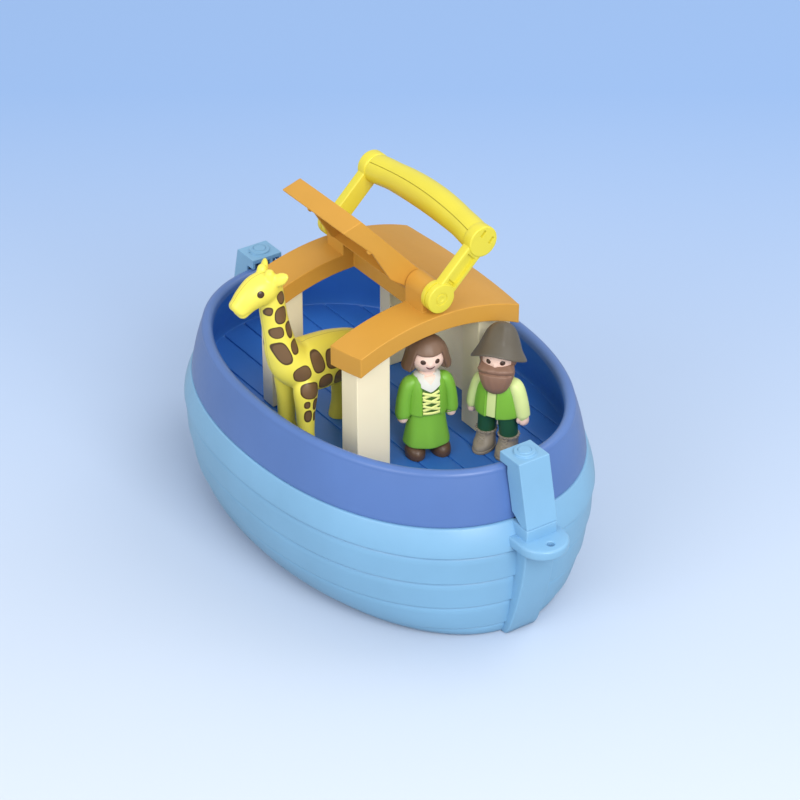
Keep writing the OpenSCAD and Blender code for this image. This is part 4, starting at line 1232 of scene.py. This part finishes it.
dressed("woman_throat", [throat], woman_place, woman_turn, skin)
woman_eyes = plain_face(woman_head_z, woman_head_r)
dressed("woman_eyes", woman_eyes, woman_place, woman_look, eye_brown)
lip_red = moulded("lip_print", (104, 46, 34), roughness=0.4)
smile_yaw = np.array([-0.27, -0.15, 0, 0.15, 0.27])
smile_pitch = np.array([-0.17, -0.29, -0.34, -0.29, -0.17])
smile_half, smile_proud = 0.085, 0.18
smile = face_stroke(smile_yaw, smile_pitch, smile_half, smile_proud, woman_head_z, woman_head_r)
dressed("woman_mouth", [smile], woman_place, woman_look, lip_red)

bob_stops = [
    (1, 44.6, 8.6, 11), (1, 45.6, 9, 11.3), (0.8, 49.6, 9, 10.2), (0.7, 53, 8.8, 9.3), (0.6, 56, 7.4, 7.8),
    (0.4, 58.6, 5, 5.2), (0.3, 60, 2.2, 2.3), (0.3, 60.2, 0.6, 0.6),
]
crown_z, bob_hem = 60.2, 44.6
fringe_mid, fringe_rise = 53.3, 1.3
temple, temple_soft = 0.83, 0.1
hair_thick, hair_edge = 1.6, 0.9
hair_locks, hair_lock_depth = 13, 0.05
hair_turn = np.linspace(-np.pi, np.pi, 360, endpoint=False)


def hair_shell():
    """A bob: rows run from the crown down the outside to the hem, and up the inside. The hem is a
    fringe, lowest in the middle of the forehead, and falls steeply past the temples to the level
    of the chin. The outside follows the stops and is drawn in near the hem to round its edge."""
    stop_y, stop_z, stop_depth, stop_width = through(bob_stops, 200).T
    fringe = fringe_mid + fringe_rise * hair_turn**2
    side = smooth(temple - temple_soft, temple + temple_soft, np.abs(hair_turn))
    hem = fringe + (bob_hem - fringe) * side
    steep = np.sqrt(1 + (np.gradient(hem, hair_turn) / stop_width.max()) ** 2)
    share = np.linspace(0, 1, 90)[:, None] ** 1.6
    outer_z = crown_z - (crown_z - hem) * share
    inner_z = (hem + (crown_z - hair_thick - hem) * share[::-1])[::-1]
    level = np.concatenate([outer_z, inner_z[::-1]])
    lock = hair_lock_depth * np.sin(hair_locks * hair_turn) * smooth(60, 55, outer_z)
    rounding = quarter_round((outer_z - hem) / steep, hair_edge)
    grow = np.concatenate([lock - rounding, np.full_like(inner_z, -hair_thick)])
    wide, deep, mid = (np.interp(level, stop_z, row) for row in (stop_width, stop_depth, stop_y))
    x = np.maximum(wide + grow, 0.05) * np.sin(hair_turn)
    return poled(xyz(x, mid - np.maximum(deep + grow, 0.05) * np.cos(hair_turn), level))


woman_hair = dressed(
    "woman_hair_moulding", [hair_shell()], woman_place, woman_look, hair_brown, 60
)
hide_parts("woman_hair")
shoe_stops = [(0, 0, 6, 4), (0, 0.5, 6.4, 4.4), (0, 2.8, 6.4, 4.5), (0.4, 4.8, 5.5, 4), (1, 6.2, 3.6, 3.2)]
shoe_places = [(-6, -2, 0), (6, -2, 0)]
shoes = [poled(stacked(shoe_stops, 30)) + np.array(place) for place in shoe_places]
woman_shoes = dressed(
    "woman_shoes_moulding", shoes, woman_place, woman_turn, shoe_brown
)
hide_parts("woman_shoes")

# Man: a solid figure with a green vest over a pale shirt, dark green trousers, laced boots, a
# full brown beard and a grey hat, shaped like soft felt, whose brim droops.
man_place = (55, 24, 0)
man_turn = math.radians(28)
man_look = math.radians(28 + 13)
shirt_pale = moulded("shirt_pale_plastic", (212, 226, 150), roughness=0.45)
trouser_green = moulded("trouser_green_plastic", (34, 84, 52), roughness=0.45)
boot_grey = moulded("boot_grey_plastic", (150, 138, 120), roughness=0.45)
hat_grey = moulded("hat_grey_plastic", (91, 84, 72), roughness=0.42)
beard_brown = moulded("beard_brown_plastic", (138, 105, 86), roughness=0.45)
vest_stops = [
    (0, 20.2, 7.4, 10), (0, 20.6, 8.2, 10.9), (0, 23, 8.2, 11), (0, 28, 7.8, 10.6), (0, 34, 6.9, 9.6),
    (0, 38.4, 5.4, 7.2), (0, 40, 4, 4.8),
]
man_sleeve_stops = [
    (-5.4, 36.6, 2.4, 3.2), (-8.6, 34.8, 3.3, 3.9), (-10.9, 28.5, 3.3, 3.9), (-12.4, 22, 3.1, 3.6),
    (-12.5, 21.4, 2.8, 3.2),
]
man_hand_stops = [
    (-12.4, 22.6, 2, 2.3), (-12.7, 19.8, 2.4, 2.8), (-12.9, 17.6, 2.1, 2.5), (-13, 16.3, 0.9, 1.2),
]
vest_open_depth, vest_hem_lift = 1.2, 0.25
vest = stacked(vest_stops, 80)
vest_gap = (1 - smooth(2.3, 2.7, np.abs(vest[..., 0]))) * (vest[..., 1] < 0)
vest_hem = np.exp(-(((np.abs(vest[..., 0]) - 3) / 0.35) ** 2)) * (vest[..., 1] < 0)
vest = poled(swelled(vest, -vest_open_depth * vest_gap + vest_hem_lift * vest_hem))
man_vest = dressed("man_vest", [vest], man_place, man_turn, jacket_green)
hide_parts("man_body")
man_sleeves = [at_side(limb(man_sleeve_stops), side) for side in both_sides]
dressed("man_sleeves", man_sleeves, man_place, man_turn, shirt_pale)
shirt_z = np.linspace(20.9, 38, 30)
shirt_edge = np.full(len(shirt_z), 2.1)
shirt = panel(vest_stops, -shirt_edge, shirt_edge, shirt_z, lift=-0.5, thick=0.6)
dressed("man_shirt", [shirt], man_place, man_turn, shirt_pale)
man_mitten = [limb(man_hand_stops, 30, 32), limb(thumb_stops, 20, 20) + np.array([-2.2, -1.5, -1])]
man_hands = [at_side(part, side) for part in man_mitten for side in both_sides]
dressed("man_hands", man_hands, man_place, man_turn, skin)
trouser_stops = [(0, 8.6, 4.1, 4), (0, 10, 4.4, 4.2), (0, 14, 4.7, 4.3), (0, 21.6, 5.4, 4.5)]
leg_apart, leg_foot, leg_slope = 5.6, 8.6, 0.08
leg = poled(stacked(trouser_stops, 30))
leg_lean = leg_apart - leg_slope * (leg[..., 2] - leg_foot)
trouser_legs = [leg + xyz(side * leg_lean, 0, 0) for side in (-1, 1)]
man_trousers = dressed(
    "man_trousers_moulding", trouser_legs, man_place, man_turn, trouser_green
)
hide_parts("man_trousers")
boot_stops = [
    (-2, 0, 7.2, 4.5), (-2, 0.3, 7.5, 4.8), (-2, 1.2, 7.5, 4.8), (-2, 1.5, 7.1, 4.4), (-2, 2.2, 7.1, 4.6),
    (-1.7, 3.6, 6.6, 4.7), (-0.7, 5.4, 5.3, 4.5), (0, 7.6, 4.6, 4.5), (0, 9.4, 5, 4.9), (0, 10, 4.9, 4.8),
]
ruffles, ruffle_depth = 16, 0.3
tie_reach, tie_rise, tie_half, tie_thick = 1.7, 1.1, 0.3, 0.3
boot = stacked(boot_stops, 90)
ruffle = ruffle_depth * smooth(8.6, 9.6, boot[..., 2]) * np.cos(ruffles * ring_turn)[None]
boot = poled(swelled(boot, ruffle))
ties = crossed(boot_stops, (4.6, 6.0, 7.4), tie_reach, tie_rise, tie_half, (0.05, 0.12), tie_thick)
boots = [part + np.array([x, 0, 0]) for x in (-leg_apart, leg_apart) for part in [boot, *ties]]
man_boots = dressed("man_boots_moulding", boots, man_place, man_turn, boot_grey)
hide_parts("man_boots")
man_head_z, man_head_r = 48.4, 7.8
man_head_parts = head_on_neck(man_head_z, man_head_r, 36)
man_head = dressed("man_head_moulding", man_head_parts, man_place, man_look, skin)
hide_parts("man_head")
dressed("man_eyes", plain_face(man_head_z, man_head_r), man_place, man_look, eye_brown)
beard_stops = [
    (-6.2, 33.4, 1, 1.6), (-6.2, 34, 2.6, 3.8), (-5.9, 36.5, 4.3, 6), (-5.4, 40, 5.2, 7.4),
    (-4.8, 42.6, 5.6, 8.1), (-4.4, 44.4, 5.5, 8.2), (-4, 46.4, 5, 7.8), (-3.6, 47.6, 4.2, 7.2),
]
beard_middle = np.array([0, -5.2, 0])
moustache_top, moustache_droop, moustache_half, moustache_out = 46, 1.4, 1.1, 0.9
dip_depth, dip_half = 0.45, 0.14
crease_drop, crease_half, crease_depth = 1.9, 0.4, 0.8
beard_locks, beard_lock_depth, beard_lock_slant = 14, 0.06, 0.25
beard = stacked(beard_stops, 120)
beard_z = beard[..., 2]
beard_front = np.cos(ring_turn)[None]
moustache_z = moustache_top - moustache_droop * (1 - beard_front)
moustache_dip = 1 - dip_depth * np.exp(-((np.sin(ring_turn) / dip_half) ** 2))[None]
moustache = moustache_out * np.exp(-(((beard_z - moustache_z) / moustache_half) ** 2))
moustache = moustache * smooth(0.1, 0.5, beard_front)
mouth_crease = crease_depth * np.exp(-(((beard_z - moustache_z + crease_drop) / crease_half) ** 2))
mouth_crease = mouth_crease * smooth(0.3, 0.6, beard_front)
beard_lock = beard_lock_depth * np.sin(beard_locks * ring_turn[None] + beard_lock_slant * beard_z)
beard_lock = beard_lock * smooth(33.6, 36, beard_z)
beard_grow = beard_lock + moustache * moustache_dip - mouth_crease
beard = poled(swelled(beard - beard_middle, beard_grow) + beard_middle)
sideburns = [face_oval(side * 1.3, -0.02, 0.32, 0.66, man_head_z, man_head_r, 0.9) for side in both_sides]
man_beard = dressed(
    "man_beard_moulding", [beard] + sideburns, man_place, man_look, beard_brown, 60
)
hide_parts("man_beard")
hat_z = 48.6
hat_tilt = math.radians(32)
ridge_out, ridge_turn, ridge_half = 0.5, 0.3, 0.09
dent_in, dent_turn, dent_half = 0.35, -0.25, 0.16
brim_waves, wave_turn, wave_height = 3, 0.5, 0.35
hat_profile = [
    (0.2, 1.5), (7.6, 1.3), (9.8, 0.2), (12, -1.3), (12.5, -1.2), (12.4, -0.4), (11, 2), (9.7, 4.4), (8.7, 7),
    (7.7, 9.4), (6.6, 11.6), (5.2, 13.4), (3.2, 14.8), (1.4, 15.3), (0.2, 15.4),
]
hat_r, hat_up = through(hat_profile, 120).T
hat_fold = ridge_out * np.exp(-((np.sin((ring_turn - ridge_turn) / 2) / ridge_half) ** 2))
hat_fold = hat_fold - dent_in * np.exp(-((np.sin((ring_turn - dent_turn) / 2) / dent_half) ** 2))
hat_wave = np.outer(smooth(9.5, 12.5, hat_r), np.cos(brim_waves * ring_turn + wave_turn)) * wave_height
hat_radius = hat_r[:, None] + np.outer(smooth(2, 7, hat_up) * smooth(15.4, 12, hat_up), hat_fold)
hat_y, hat_level = -hat_radius * np.cos(ring_turn), hat_up[:, None] + hat_wave
hat = poled(xyz(
    hat_radius * np.sin(ring_turn),
    hat_y * math.cos(hat_tilt) + hat_level * math.sin(hat_tilt),
    hat_z + hat_level * math.cos(hat_tilt) - hat_y * math.sin(hat_tilt),
))
man_hat = dressed("man_hat_moulding", [hat], man_place, man_look, hat_grey, 60)
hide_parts("man_hat")
